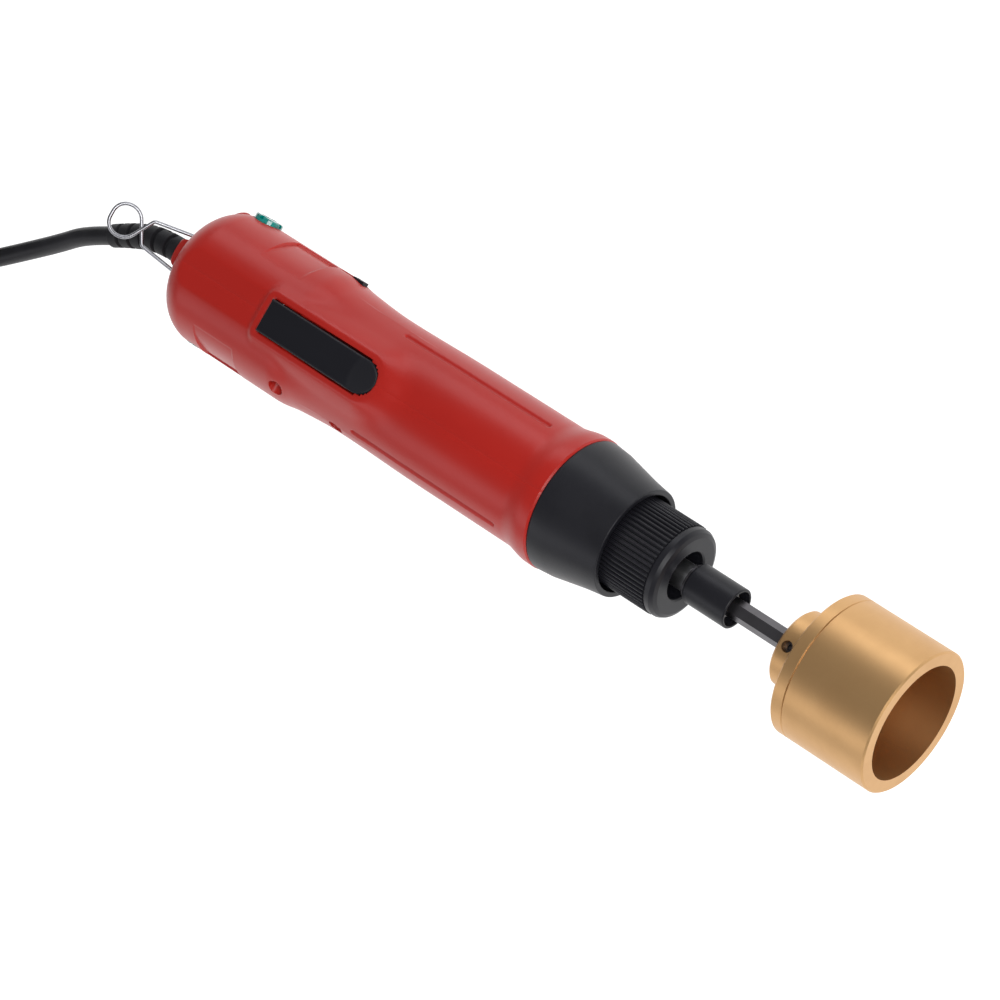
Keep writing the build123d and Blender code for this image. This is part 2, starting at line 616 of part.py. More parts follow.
knob_x = handle_back + 62.0
KNOB_TRAVEL = 6.0
slide_inner = motor_radius + 0.3
slide_outer = swell_radius - WALL - 1.4
with BuildPart() as reverse_switch:
    bar(knob_x + 6.0, knob_x - 12.0, (slide_inner, slide_outer), (-3.0, 3.0))
    for x in (knob_x + 2, knob_x - 3, knob_x - 8):
        bar(x + 0.4, x - 0.4, (slide_inner, slide_inner + 1.2), (3.0, 5.0))
finish(reverse_switch.part, "reverse_switch")

with BuildPart() as knob:
    bar(knob_x + 4.5, knob_x - 4.5, (slide_outer + 0.1, slide_outer + 1.0), (-2.6, 2.6))
    bar(knob_x + 2.4, knob_x - 2.4, (slide_outer + 1.0, swell_radius + KNOB_PROUD), (-1.7, 1.7))
finish(knob.part, "reverse_knob")

board_z = -case_radius + 4.2
with BuildPart() as board:
    bar(switch_front, switch_back - 3.0, (-9.5, 9.5), (board_z, board_z + 1.6))
finish(board.part, "control_board")

with BuildPart() as board_parts:
    bar(switch_front - 2, switch_front - 8, (-6, 1), (board_z - 2.2, board_z))
    bar(switch_front - 9.5, switch_front - 14, (-4, 4), (board_z - 2.0, board_z))
    rod(switch_front - 1, switch_front - 6.5, 2.4, y=-5.0, z=board_z + 4.1)
finish(board_parts.part, "board_components")

# ------------------------------------------------------------------ nose cone
groove_front = handle_front - 4.5
groove_back = handle_front - 6.5
spigot_back = handle_front - SPIGOT_LENGTH
cone_inner = CONE_FRONT_DIAMETER / 2 - CONE_WALL
with BuildPart() as nose_cone:
    front_radius = CONE_FRONT_DIAMETER / 2
    turn([(cone_front, cone_inner), (cone_front, front_radius - 0.5), (cone_front - 0.6, front_radius),
          (handle_front + 7.0, CONE_SHOULDER_DIAMETER / 2), (handle_front, CONE_BACK_DIAMETER / 2),
          (handle_front, spigot_radius), (groove_front, spigot_radius), (groove_front, spigot_radius - 1.2),
          (groove_back, spigot_radius - 1.2), (groove_back, spigot_radius), (spigot_back, spigot_radius),
          (spigot_back, cone_inner), (cone_front - 14, cone_inner)])
finish(nose_cone.part, "nose_cone")

# ------------------------------------------------------------------ handle
lip = 3.0
boss_half = trigger_half + lip
facet_z = swell_radius - 1.0
PANEL_SPAN = 45.0
PANEL_LENGTH = 19.3
GROOVE_LENGTH = 68.0
GROOVE_SETBACK = 4.0
SCREW_RADIUS = 1.5
screw_places = ((handle_back + 62.0, 13.7), (handle_back + 62.0, -13.7),
                (handle_front - 92.5, 8.4), (handle_front - 92.5, -8.4))
screw_head = 2.8
head_seat = 14.0


def radial_plane(angle, radius):
    """Plane facing outwards at an angle from +Z towards +Y, its x along the drive axis."""
    out = (0, sin(radians(angle)), cos(radians(angle)))
    return Plane(origin=(0, out[1] * radius, out[2] * radius), x_dir=(1, 0, 0), z_dir=out)


with BuildPart() as shell:
    grip = GRIP_DIAMETER / 2
    collar = COLLAR_DIAMETER / 2
    waist = WAIST_DIAMETER / 2
    waist_x = handle_back + 86.0
    swell_x = handle_back + 58.0
    dome_x = handle_back + TAIL_RADIUS
    with BuildSketch(Plane.XZ) as outline:
        with BuildLine():
            Polyline((handle_back, 0), (handle_front, 0), (handle_front, collar - 0.4),
                     (handle_front - 0.5, collar), (handle_front - 7.5, collar))
            Spline((handle_front - 7.5, collar), (grip_front, grip),
                   tangents=((-1, 0), (-1, 0)))
            Line((grip_front, grip), (waist_x + 38, grip))
            Spline((waist_x + 38, grip), (waist_x, waist), (swell_x + 10, waist + 1.2),
                   (swell_x, swell_radius), tangents=((-1, 0), (-1, 0)))
            Line((swell_x, swell_radius), (dome_x, swell_radius))
            RadiusArc((dome_x, swell_radius), (handle_back, swell_radius - TAIL_RADIUS), -TAIL_RADIUS)
            Line((handle_back, swell_radius - TAIL_RADIUS), (handle_back, 0))
        make_face()
    revolve(outline.sketch, axis=Axis.X)
    # flat facet behind the trigger
    bar(trigger_back - 5.0, handle_back - 1, (-swell_radius, swell_radius),
        (facet_z, swell_radius + 5), Mode.SUBTRACT)
    # raised boss around the trigger
    with BuildSketch(Plane.XZ.offset(-boss_half)) as boss:
        with BuildLine():
            Polyline((trigger_back - lip, 12), (trigger_back - lip, trigger_top - 0.9),
                     (trigger_front + 1, trigger_top - 1.2), (trigger_front + 7, trigger_top - 2.2),
                     (trigger_front + 20, grip), (trigger_front + 20, 12), close=True)
        make_face()
    extrude(boss.sketch, amount=2 * boss_half)
    # block for the cord and the bail
    bar(handle_back + 4, block_back, (-BLOCK_WIDTH / 2, BLOCK_WIDTH / 2),
        (-BLOCK_HEIGHT / 2, BLOCK_HEIGHT / 2))
    chamfer(shell.faces().sort_by(Axis.X)[0].edges(), 1.2)

with BuildPart() as hollow:
    rib = case_radius - 2.2
    room = WAIST_DIAMETER / 2 - WALL
    wide = swell_radius - WALL
    can_seat = motor_radius + SEAT
    turn([(handle_front + 1, 0), (handle_front + 1, spigot_radius + SEAT),
          (groove_front - 0.1, spigot_radius + SEAT), (groove_front - 0.1, spigot_radius - 1.0),
          (groove_back + 0.1, spigot_radius - 1.0), (groove_back + 0.1, spigot_radius + SEAT),
          (spigot_back - 0.1, spigot_radius + SEAT), (spigot_back - 0.1, room),
          (washer_back + 6.0, room), (washer_back + 6.0, rib), (flange_front, rib),
          (flange_front, case_radius + SEAT), (plate_front - 2.5, case_radius + SEAT),
          (plate_front - 2.5, rib), (plate_front - 4.5, rib), (plate_front - 4.5, room - 0.3),
          (waist_x - 6, room - 0.3), (waist_x - 16, wide - 1.4), (swell_x, wide), (can_front - 10.0, wide),
          (can_front - 10.0, can_seat), (can_front - 12.0, can_seat), (can_front - 12.0, wide),
          (can_back + 5.0, wide), (can_back + 5.0, can_seat), (can_back + 3.0, can_seat),
          (can_back + 3.0, wide), (dome_x + 1.0, wide), (dome_x - 5.5, wide - 2.4),
          (handle_back + 4.2, wide - 7.5), (handle_back + 2.5, wide - 10.5), (handle_back + 2.5, 0)])

neck_radius = RELIEF_DIAMETER / 2 - 0.75
with BuildPart() as handle:
    add(shell.part)
    add(hollow.part, mode=Mode.SUBTRACT)
    # shelf for the trigger's spring and bosses for the screws
    bar(spring_x + 3.0, spring_x - 3.0, (-room, room), (shelf_top - 1.4, shelf_top))
    for x, z in screw_places:
        reach = sqrt((room + 1.0) ** 2 - z ** 2)
        cross_rod(x, z, -reach, reach, SCREW_RADIUS + 2.0)
    for x, z in screw_places:
        cross_rod(x, z, -swell_radius, 12.5, SCREW_RADIUS, Mode.SUBTRACT)
        cross_rod(x, z, -swell_radius - 2, -head_seat, screw_head, Mode.SUBTRACT)
    # opening for the trigger, with its pivot pockets
    slot_half = trigger_half + SLOT_GAP
    with BuildSketch(Plane.XY.offset(shelf_top)) as opening:
        with BuildLine():
            nose = trigger_front - trigger_half
            Polyline((nose, slot_half), (trigger_back - SLOT_GAP, slot_half),
                     (trigger_back - SLOT_GAP, -slot_half), (nose, -slot_half))
            ThreePointArc((nose, -slot_half), (trigger_front + SLOT_GAP, 0), (nose, slot_half))
        make_face()
    extrude(opening.sketch, amount=trigger_top, mode=Mode.SUBTRACT)
    cross_rod(pivot_x, pivot_z, -pin_half, pin_half, 1.0, Mode.SUBTRACT)
    # holes for the brush caps and the window of the reverse switch
    for side in (-1, 1):
        cross_rod(brush_x, 0, side * (holder_out - 1), side * (swell_radius + 1), cap_radius + 0.2,
                  Mode.SUBTRACT)
    bar(knob_x + 2.8, knob_x - 2.8 - KNOB_TRAVEL, (slide_outer, swell_radius + 2), (-2.1, 2.1),
        Mode.SUBTRACT)
    bar(knob_x + 5.0, knob_x - 5.0 - KNOB_TRAVEL, (slide_outer - 0.5, slide_outer + 1.3), (-3.2, 3.2),
        Mode.SUBTRACT)
    # sunk panels on the two flanks
    for first, front in ((40.0, handle_back + 52.5), (-88.0, handle_back + 41.5)):
        start = radians(first)
        with BuildSketch(Plane(origin=(0, 0, 0), x_dir=(1, 0, 0),
                               z_dir=(0, -cos(start), sin(start)))) as panel:
            with Locations((front - PANEL_LENGTH / 2, swell_radius + 1.1)):
                Rectangle(PANEL_LENGTH, 4.0)
        revolve(panel.sketch, axis=Axis.X, revolution_arc=-PANEL_SPAN, mode=Mode.SUBTRACT)
    # finger grooves along the grip
    groove_middle = grip_front - GROOVE_SETBACK - GROOVE_LENGTH / 2
    for angle in (55, 125, 235, 305):
        with BuildSketch(radial_plane(angle, grip - 0.6)) as groove:
            with Locations((groove_middle, 0)):
                SlotOverall(GROOVE_LENGTH, 2.0)
        extrude(groove.sketch, amount=3, mode=Mode.SUBTRACT)
    # retaining screws of the nose cone
    for angle in (72, 108, 252, 288):
        with BuildSketch(radial_plane(angle, spigot_radius - 2)) as hole:
            with Locations((spigot_back + 3.4, 0)):
                Circle(1.7)
        extrude(hole.sketch, amount=8, mode=Mode.SUBTRACT)
    # passage of the cord's strain relief and pivots of the bail
    rod(handle_back + 6, block_back - 1, neck_radius + SEAT, Mode.SUBTRACT)
    for side in (-1, 1):
        cross_rod(bail_x, 1.0, side * (neck_radius - 0.5), side * BLOCK_WIDTH, WIRE_DIAMETER / 2 + BAIL_PLAY,
                  Mode.SUBTRACT)

with BuildPart() as handle_left:
    add(handle.part)
    split(bisect_by=Plane.XZ, keep=Keep.BOTTOM)
finish(handle_left.part, "handle_left")

with BuildPart() as handle_right:
    add(handle.part)
    split(bisect_by=Plane.XZ, keep=Keep.TOP)
finish(handle_right.part, "handle_right")

with BuildPart() as housing_screws:
    for x, z in screw_places:
        cross_rod(x, z, -head_seat, 12.0, SCREW_RADIUS)
        cross_rod(x, z, -head_seat - 2.0, -head_seat, screw_head - 0.1)
        bar(x + 1.6, x - 1.6, (-head_seat - 2.0, -head_seat - 1.0), (z - 0.35, z + 0.35), Mode.SUBTRACT)
        bar(x + 0.35, x - 0.35, (-head_seat - 2.0, -head_seat - 1.0), (z - 1.6, z + 1.6), Mode.SUBTRACT)
finish(housing_screws.part, "housing_screws")

with BuildPart() as cone_screws:
    for angle in (72, 108, 252, 288):
        with BuildSketch(radial_plane(angle, spigot_radius)) as screw:
            with Locations((spigot_back + 3.4, 0)):
                Circle(1.6)
        extrude(screw.sketch, amount=1.2)
finish(cone_screws.part, "cone_screws")

# ------------------------------------------------------------------ bail
bail_along = (-cos(radians(BAIL_ANGLE)), sin(radians(BAIL_ANGLE)))


def bail_point(along, side, over):
    """Point of the bail from its distance along the bail, its y and its height over the bail."""
    x = bail_x + along * bail_along[0] + over * bail_along[1]
    z = 1.0 + along * bail_along[1] - over * bail_along[0]
    return (x, side, z)


bend = WIRE_DIAMETER * 0.8
leg_side = BLOCK_WIDTH / 2 + bend + 0.3
over = WIRE_DIAMETER / 2 + 0.05
bail_corners = [(0, neck_radius + 0.3, 0), (0, leg_side, 0), (15.5, 5.0, over), (22.0, -6.6, over),
                (30.4, -5.2, over / 2), (30.4, 5.2, -over / 2), (22.0, 6.6, -over), (15.5, -5.0, -over),
                (0, -leg_side, 0), (0, -neck_radius - 0.3, 0)]
with BuildPart() as bail:
    with BuildLine() as wire:
        FilletPolyline(*[bail_point(*corner) for corner in bail_corners],
                       radius=[bend, 1.6, 3.6, 4.6, 4.6, 3.6, 1.6, bend])
    with BuildSketch(Plane(origin=wire.line @ 0, z_dir=wire.line % 0)):
        Circle(WIRE_DIAMETER / 2)
    sweep(path=wire.line)
finish(bail.part, "hanging_bail")


# ------------------------------------------------------------------ cord
def corner_radii(points):
    """Radius of the arc at each inner point: 0.45 of the shorter run over tan(half the turn)."""
    radii = []
    for before, here, after in zip(points, points[1:], points[2:]):
        run_in = Vector(*here) - Vector(*before)
        run_out = Vector(*after) - Vector(*here)
        half_turn = radians(run_in.get_angle(run_out)) / 2
        radii.append(0.45 * min(run_in.length, run_out.length) / tan(half_turn))
    return radii


cord_z = table_z + CORD_DIAMETER / 2
relief_end = (block_back - 33.6, -9.0, -5.2)
relief_points = [(block_back, 0, 0), (block_back - 9.0, 0, 0), (block_back - 21.5, -3.4, -1.7), relief_end]
relief_radius = RELIEF_DIAMETER / 2
with BuildPart() as relief:
    with BuildLine() as relief_path:
        FilletPolyline(*relief_points, radius=corner_radii(relief_points))
    with BuildSketch(Plane(origin=relief_path.line @ 0, z_dir=relief_path.line % 0)):
        Circle(relief_radius)
    sweep(path=relief_path.line)
    rod(handle_back + 3.0, block_back, neck_radius)
    rod(handle_back + 4.2, handle_back + 2.5, neck_radius + 1.5)
finish(relief.part, "strain_relief")

coil_centre = (-497.0, -39.0)
COIL_RADII = (31.5, 38.5, 45.5)
coil_outer = COIL_RADII[-1] + CORD_DIAMETER / 2
coil_inner = COIL_RADII[0] - CORD_DIAMETER / 2


def around_coil(radius, angle, z):
    """Point at a radius and an angle from the coil's centre."""
    return (coil_centre[0] + radius * cos(radians(angle)), coil_centre[1] + radius * sin(radians(angle)), z)


cord_points = [relief_end, (-383.4, -14.5, -8.65), (-396.5, -23.0, -14.8), (-410.5, -32.0, -19.6),
               (-425.5, -42.6, cord_z + 0.2), (-440.5, -53.6, cord_z), (-455.5, -65.0, cord_z),
               around_coil(COIL_RADII[-1], -53.0, cord_z)]
tail_points = [around_coil(COIL_RADII[-1], -143.0, cord_z + CORD_DIAMETER), (-539.9, -53.0, -13.5),
               (-540.9, -38.2, -9.8), (-536.3, -24.0, -7.0), (-526.7, -12.6, -5.0), (-513.6, -5.6, -5.0)]
for name, points in (("cord", cord_points), ("cord_tail", tail_points)):
    radii = corner_radii(points)
    print(name, "radii", [round(radius, 1) for radius in radii])
    with BuildPart() as tube:
        with BuildLine() as path:
            FilletPolyline(*points, radius=radii)
        with BuildSketch(Plane(origin=path.line @ 0, z_dir=path.line % 0)):
            Circle(CORD_DIAMETER / 2)
        sweep(path=path.line)
    length = path.wires()[0].length
    print(name, "length", round(length, 1),
          "volume ratio", round(tube.part.volume / (pi * CORD_DIAMETER ** 2 / 4 * length), 4))
    finish(tube.part, name)

with BuildPart() as cord_coil:
    with BuildSketch(Plane.XY.offset(table_z)) as ring:
        with Locations(coil_centre):
            Circle(coil_outer)
            Circle(coil_inner, mode=Mode.SUBTRACT)
    extrude(ring.sketch, amount=2 * CORD_DIAMETER)
    fillet(cord_coil.edges().filter_by(GeomType.CIRCLE), 2.5)
finish(cord_coil.part, "cord_coil")

PLUG_LENGTH = 34.0
PLUG_WIDTH = 26.0
PLUG_HEIGHT = 13.4
PIN_SPACING = 19.0
PIN_RADIUS = 2.0
PIN_LENGTH = 19.0
plug_axis = (Vector(*tail_points[-1]) - Vector(*tail_points[-2])).normalized()
plug_plane = Plane(origin=tail_points[-1], x_dir=(plug_axis.Y, -plug_axis.X, 0), z_dir=plug_axis)
with BuildPart() as plug:
    with BuildSketch(plug_plane):
        Circle(CORD_DIAMETER / 2 + 1.2)
    with BuildSketch(plug_plane.offset(12)):
        Ellipse(8.0, 5.6)
    with BuildSketch(plug_plane.offset(PLUG_LENGTH - 8)):
        Ellipse(PLUG_WIDTH / 2, PLUG_HEIGHT / 2)
    loft()
    with BuildSketch(plug_plane.offset(PLUG_LENGTH - 8)) as front:
        Ellipse(PLUG_WIDTH / 2, PLUG_HEIGHT / 2)
    extrude(front.sketch, amount=8)
finish(plug.part, "plug_body")

with BuildPart() as plug_pins:
    with BuildSketch(plug_plane.offset(PLUG_LENGTH)) as roots:
        with Locations((-PIN_SPACING / 2, 0), (PIN_SPACING / 2, 0)):
            Circle(PIN_RADIUS)
    extrude(roots.sketch, amount=PIN_LENGTH)
    chamfer(plug_pins.faces().filter_by(plug_plane.offset(PLUG_LENGTH + PIN_LENGTH)).edges(), 0.6)
finish(plug_pins.part, "plug_pins")
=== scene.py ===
import json
import math

import bmesh
import bpy
import numpy as np
from mathutils import Matrix, Vector


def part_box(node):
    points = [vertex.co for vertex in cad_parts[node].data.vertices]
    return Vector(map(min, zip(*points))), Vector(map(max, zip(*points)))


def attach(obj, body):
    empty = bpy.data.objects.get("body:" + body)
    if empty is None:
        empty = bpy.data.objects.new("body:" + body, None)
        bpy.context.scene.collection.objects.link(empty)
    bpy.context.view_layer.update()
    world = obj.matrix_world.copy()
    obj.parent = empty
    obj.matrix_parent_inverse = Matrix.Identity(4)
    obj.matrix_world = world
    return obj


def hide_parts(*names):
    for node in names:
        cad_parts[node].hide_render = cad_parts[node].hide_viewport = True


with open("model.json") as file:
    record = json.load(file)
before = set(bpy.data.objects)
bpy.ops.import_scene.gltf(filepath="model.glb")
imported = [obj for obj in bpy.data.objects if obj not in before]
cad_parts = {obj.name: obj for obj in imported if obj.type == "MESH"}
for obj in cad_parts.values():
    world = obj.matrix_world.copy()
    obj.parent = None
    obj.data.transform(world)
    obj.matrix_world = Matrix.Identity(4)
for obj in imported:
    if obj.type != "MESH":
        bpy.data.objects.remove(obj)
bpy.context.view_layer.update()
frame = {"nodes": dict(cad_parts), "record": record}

# Hand-held electric capping machine, in metres. X runs along the drive axis and points out of
# the capping cup, Z points from the axis to the trigger, and the table is under the cup.

MM = 0.001
nodes = frame["nodes"]


def ends(node):
    """Front and back stations of a CAD node along the drive axis, in millimetres."""
    low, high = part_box(node)
    return high[0] / MM, low[0] / MM


table_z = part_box("capping_cup")[0][2] / MM
handle_front = ends("handle_left")[0]
block_back = ends("handle_left")[1]
trigger_front, trigger_back = ends("trigger")
ring_front, ring_back = ends("torque_ring")
ring_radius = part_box("torque_ring")[1][2] / MM
cap_centre = sum(ends("brush_cap_left")) / 2
cap_radius = (ends("brush_cap_left")[0] - ends("brush_cap_left")[1]) / 2


# ------------------------------------------------------------------ shader maths
class Wire:
    """A shader socket that takes part in Python arithmetic."""

    def __init__(self, shade, socket):
        self.shade = shade
        self.socket = socket

    def maths(self, operation, *others):
        return self.shade.node("ShaderNodeMath", {"operation": operation}, self, *others)

    def __add__(self, other):
        return self.maths("ADD", other)

    def __mul__(self, other):
        return self.maths("MULTIPLY", other)

    __radd__ = __add__
    __rmul__ = __mul__

    def sine(self):
        return self.maths("SINE")

    def power(self, exponent):
        return self.maths("POWER", exponent)

    def band(self, low, high):
        """Rises from 0 to 1 between two values."""
        settings = {"interpolation_type": "SMOOTHSTEP"}
        inputs = {"Value": self, "From Min": low, "From Max": high}
        return self.shade.node("ShaderNodeMapRange", settings, **inputs)


class Shade:
    """One material with a Principled shader."""

    def __init__(self, name, **constants):
        self.material = bpy.data.materials.new(name)
        self.material.use_nodes = True
        self.tree = self.material.node_tree
        self.shader = self.tree.nodes["Principled BSDF"]
        for socket, value in constants.items():
            self.put(self.shader.inputs[socket.replace("_", " ")], value)
        self.place = self.node("ShaderNodeTexCoord", {}, out="Object")

    def put(self, socket, value):
        if isinstance(value, Wire):
            self.tree.links.new(value.socket, socket)
        elif isinstance(value, (tuple, list)) and len(value) == 3 and socket.type == "RGBA":
            socket.default_value = (*value, 1.0)
        else:
            socket.default_value = value

    def node(self, kind, settings, *values, out=0, **inputs):
        """A node with its settings, the values or links of its sockets, and one output."""
        made = self.tree.nodes.new(kind)
        for name, value in settings.items():
            setattr(made, name, value)
        for index, value in enumerate(values):
            self.put(made.inputs[index], value)
        for name, value in inputs.items():
            self.put(made.inputs[name], value)
        return Wire(self, made.outputs[out])

    def noise(self, scale, detail=3.0, roughness=0.5, stretch=None):
        """Noise over the object, from 0 to 1; stretch scales the three axes."""
        place = self.place
        if stretch:
            place = self.node("ShaderNodeVectorMath", {"operation": "MULTIPLY"}, place, stretch)
        return self.node("ShaderNodeTexNoise", {}, Vector=place, Scale=scale, Detail=detail,
                         Roughness=roughness)

    def mix(self, factor, first, second):
        """A colour between two colours."""
        made = self.tree.nodes.new("ShaderNodeMix")
        made.data_type = "RGBA"
        for index, value in ((0, factor), (6, first), (7, second)):
            self.put(made.inputs[index], value)
        return Wire(self, made.outputs[2])

    def axis(self, name):
        return self.node("ShaderNodeSeparateXYZ", {}, self.place, out=name)

    def radius(self):
        """Distance from the drive axis."""
        y, z = self.axis("Y"), self.axis("Z")
        return (y * y + z * z).power(0.5)

    def colour(self, value):
        self.put(self.shader.inputs["Base Color"], value)

    def rough(self, value):
        self.put(self.shader.inputs["Roughness"], value)

    def bump(self, height, strength, distance):
        """Surface relief; distance is the height in metres of a full step."""
        made = self.node("ShaderNodeBump", {}, Height=height, Strength=strength, Distance=distance)
        self.put(self.shader.inputs["Normal"], made)


def moulded(name, colour, deep, roughness, coat=0.0, specular=0.5, grain=2600.0, depth=0.00002):
    """Moulded plastic: fine spark-eroded grain, faint flow marks and handled patches."""
    shade = Shade(name, Coat_Weight=coat, Coat_Roughness=0.25, Specular_IOR_Level=specular)
    flow = shade.noise(26.0, 4.0, 0.6, (0.35, 1.0, 1.0))
    touch = shade.noise(70.0, 5.0, 0.65)
    fine = shade.noise(grain, 2.0, 0.6)
    shade.colour(shade.mix(flow.band(0.3, 0.72), colour, deep))
    shade.rough(roughness - 0.05 + touch * 0.1 + fine * 0.03)
    shade.bump(fine, 0.35, depth)
    return shade.material


def turned_metal(name, colour, worn, roughness, metallic=1.0, pitch=0.00022, depth=0.000004,
                 specular=0.5):
    """Turned and anodised or ground metal: fine tool lines round the drive axis."""
    shade = Shade(name, Metallic=metallic, Specular_IOR_Level=specular)
    lines = (shade.axis("X") * (2 * math.pi / pitch)).sine() * 0.5 + 0.5
    scuffs = shade.noise(900.0, 3.0, 0.6, (3.0, 0.25, 0.25))
    cloud = shade.noise(55.0, 4.0, 0.6)
    shade.colour(shade.mix(cloud.band(0.35, 0.7) * 0.6 + scuffs * 0.2, colour, worn))
    shade.rough(roughness - 0.03 + cloud * 0.06 + scuffs * 0.05)
    shade.bump(lines * 0.6 + scuffs * 0.4, 0.5, depth)
    return shade.material


def wire_metal(name, colour, dark, roughness):
    """Drawn or plated wire with faint drawing streaks."""
    shade = Shade(name, Metallic=1.0)
    streak = shade.noise(1500.0, 3.0, 0.6, (0.2, 1.0, 1.0))
    stain = shade.noise(120.0, 4.0, 0.6)
    shade.colour(shade.mix(stain.band(0.4, 0.75), colour, dark))
    shade.rough(roughness + streak * 0.08 + stain * 0.04)
    shade.bump(streak, 0.25, 0.000006)
    return shade.material


def rubber(name, colour, pale, roughness, grain, depth):
    """Soft PVC or rubber: a fine extruded skin with paler rubbed patches."""
    shade = Shade(name, Specular_IOR_Level=0.25)
    skin = shade.noise(grain, 3.0, 0.6)
    rub = shade.noise(60.0, 4.0, 0.6)
    shade.colour(shade.mix(rub.band(0.45, 0.8), colour, pale))
    shade.rough(roughness + rub * 0.08 + skin * 0.06)
    shade.bump(skin, 0.35, depth)
    return shade.material


def laminate(name, colour, track):
    """Circuit board: solder mask with etched tracks."""
    shade = Shade(name, Coat_Weight=0.4, Coat_Roughness=0.2)
    weave = shade.node("ShaderNodeTexBrick", {}, Vector=shade.place, Scale=300.0, out="Fac")
    shade.colour(shade.mix(weave * 0.6, colour, track))
    shade.rough(shade.noise(300.0) * 0.2 + 0.3)
    shade.bump(weave, 0.2, 0.00003)
    return shade.material


def tinted_cap(name, colour, deep):
    """Clear tinted plastic of the brush caps, with depth in the colour."""
    shade = Shade(name, Coat_Weight=0.8, Coat_Roughness=0.08, Specular_IOR_Level=0.6,
                  Transmission_Weight=0.35, IOR=1.49)
    swirl = shade.noise(260.0, 3.0, 0.6)
    shade.colour(shade.mix(swirl.band(0.3, 0.7), colour, deep))
    shade.rough(swirl * 0.12 + 0.1)
    shade.bump(swirl, 0.2, 0.00003)
    return shade.material


def wound_copper(name):
    """Enamelled copper wire laid in rows."""
    shade = Shade(name, Metallic=0.9, Coat_Weight=0.5, Coat_Roughness=0.2)
    rows = (shade.radius() * (2 * math.pi / 0.0006)).sine() * 0.5 + 0.5
    shade.colour(shade.mix(rows * 0.6, (0.55, 0.22, 0.09), (0.3, 0.1, 0.04)))
    shade.rough(shade.noise(300.0) * 0.15 + 0.3)
    shade.bump(rows, 0.6, 0.0001)
    return shade.material


finishes = {
    "red_shell": moulded("red_shell", (0.44, 0.014, 0.008), (0.39, 0.011, 0.006), 0.36, 0.1, 0.3),
    "black_trigger": moulded("black_trigger", (0.010, 0.010, 0.014), (0.007, 0.007, 0.010), 0.42,
                             specular=0.22),
    "black_anodised": turned_metal("black_anodised", (0.008, 0.008, 0.011), (0.013, 0.013, 0.017),
                                   0.38, 0.0, specular=0.28),
    "gold_anodised": turned_metal("gold_anodised", (0.62, 0.375, 0.17), (0.56, 0.33, 0.145), 0.42),
    "dark_steel": turned_metal("dark_steel", (0.13, 0.125, 0.135), (0.09, 0.085, 0.09), 0.34),
    "bright_steel": turned_metal("bright_steel", (0.55, 0.55, 0.56), (0.42, 0.42, 0.43), 0.28),
    "spring_steel": wire_metal("spring_steel", (0.46, 0.46, 0.48), (0.3, 0.3, 0.31), 0.3),
    "bail_chrome": wire_metal("bail_chrome", (0.34, 0.34, 0.36), (0.24, 0.24, 0.26), 0.22),
    "zinc_can": turned_metal("zinc_can", (0.5, 0.5, 0.47), (0.38, 0.38, 0.35), 0.4),
    "magnet": moulded("magnet", (0.05, 0.05, 0.052), (0.035, 0.035, 0.037), 0.6),
    "copper": wound_copper("copper"),
    "brass": turned_metal("brass", (0.66, 0.47, 0.2), (0.5, 0.34, 0.13), 0.32),
    "carbon": moulded("carbon", (0.02, 0.02, 0.021), (0.035, 0.035, 0.036), 0.65),
    "green_cap": tinted_cap("green_cap", (0.0, 0.42, 0.36), (0.0, 0.2, 0.18)),
    "black_nylon": moulded("black_nylon", (0.014, 0.014, 0.016), (0.02, 0.02, 0.022), 0.5),
    "board_green": laminate("board_green", (0.01, 0.1, 0.04), (0.03, 0.2, 0.07)),
    "black_rubber": rubber("black_rubber", (0.010, 0.010, 0.012), (0.02, 0.02, 0.023), 0.5,
                           2200.0, 0.00003),
    "cord_pvc": rubber("cord_pvc", (0.008, 0.008, 0.010), (0.014, 0.014, 0.017), 0.36,
                       1500.0, 0.00002),
}

slot_of = {part["node"]: part["material_slot"] for part in frame["record"]["subparts"]}
for name, node in nodes.items():
    node.data.materials.clear()
    node.data.materials.append(finishes[slot_of[name]])


# ------------------------------------------------------------------ mesh helpers
def soften(value, low, high):
    """Smooth step from 0 at low to 1 at high."""
    t = np.clip((value - low) / (high - low), 0.0, 1.0)
    return t * t * (3 - 2 * t)


def blend_max(a, b, reach):
    """Larger of two heights, rounded over a reach where they meet."""
    mixed = np.clip(0.5 + 0.5 * (a - b) / reach, 0.0, 1.0)
    return b * (1 - mixed) + a * mixed + reach * mixed * (1 - mixed)


def blend_min(a, b, reach):
    return -blend_max(-a, -b, reach)


def piece(name, points, faces, node, body, crease=32.0):
    """A mesh object in place from millimetre points; it stands for a CAD node and rides with it."""
    mesh = bpy.data.meshes.new(name)
    mesh.from_pydata([tuple(point) for point in np.asarray(points) * MM], [], faces)
    return dress(name, mesh, node, body, crease)


def dress(name, mesh, node, body, crease=32.0):
    made = bmesh.new()
    made.from_mesh(mesh)
    bmesh.ops.remove_doubles(made, verts=made.verts, dist=1e-7)
    bmesh.ops.recalc_face_normals(made, faces=made.faces)
    made.to_mesh(mesh)
    made.free()
    mesh.shade_smooth()
    mesh.set_sharp_from_angle(angle=math.radians(crease))
    mesh.materials.clear()
    mesh.materials.append(finishes[slot_of[node]])
    thing = bpy.data.objects.new(name, mesh)
    bpy.context.scene.collection.objects.link(thing)
    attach(thing, body)
    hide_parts(node)
    return thing


def grid_faces(rows, columns, closed=False):
    """Quads between neighbouring rows of points."""
    faces = []
    for row in range(rows - 1):
        for column in range(columns if closed else columns - 1):
            after = (column + 1) % columns
            corner = row * columns
            faces.append((corner + column, corner + after, corner + columns + after,
                          corner + columns + column))
    return faces


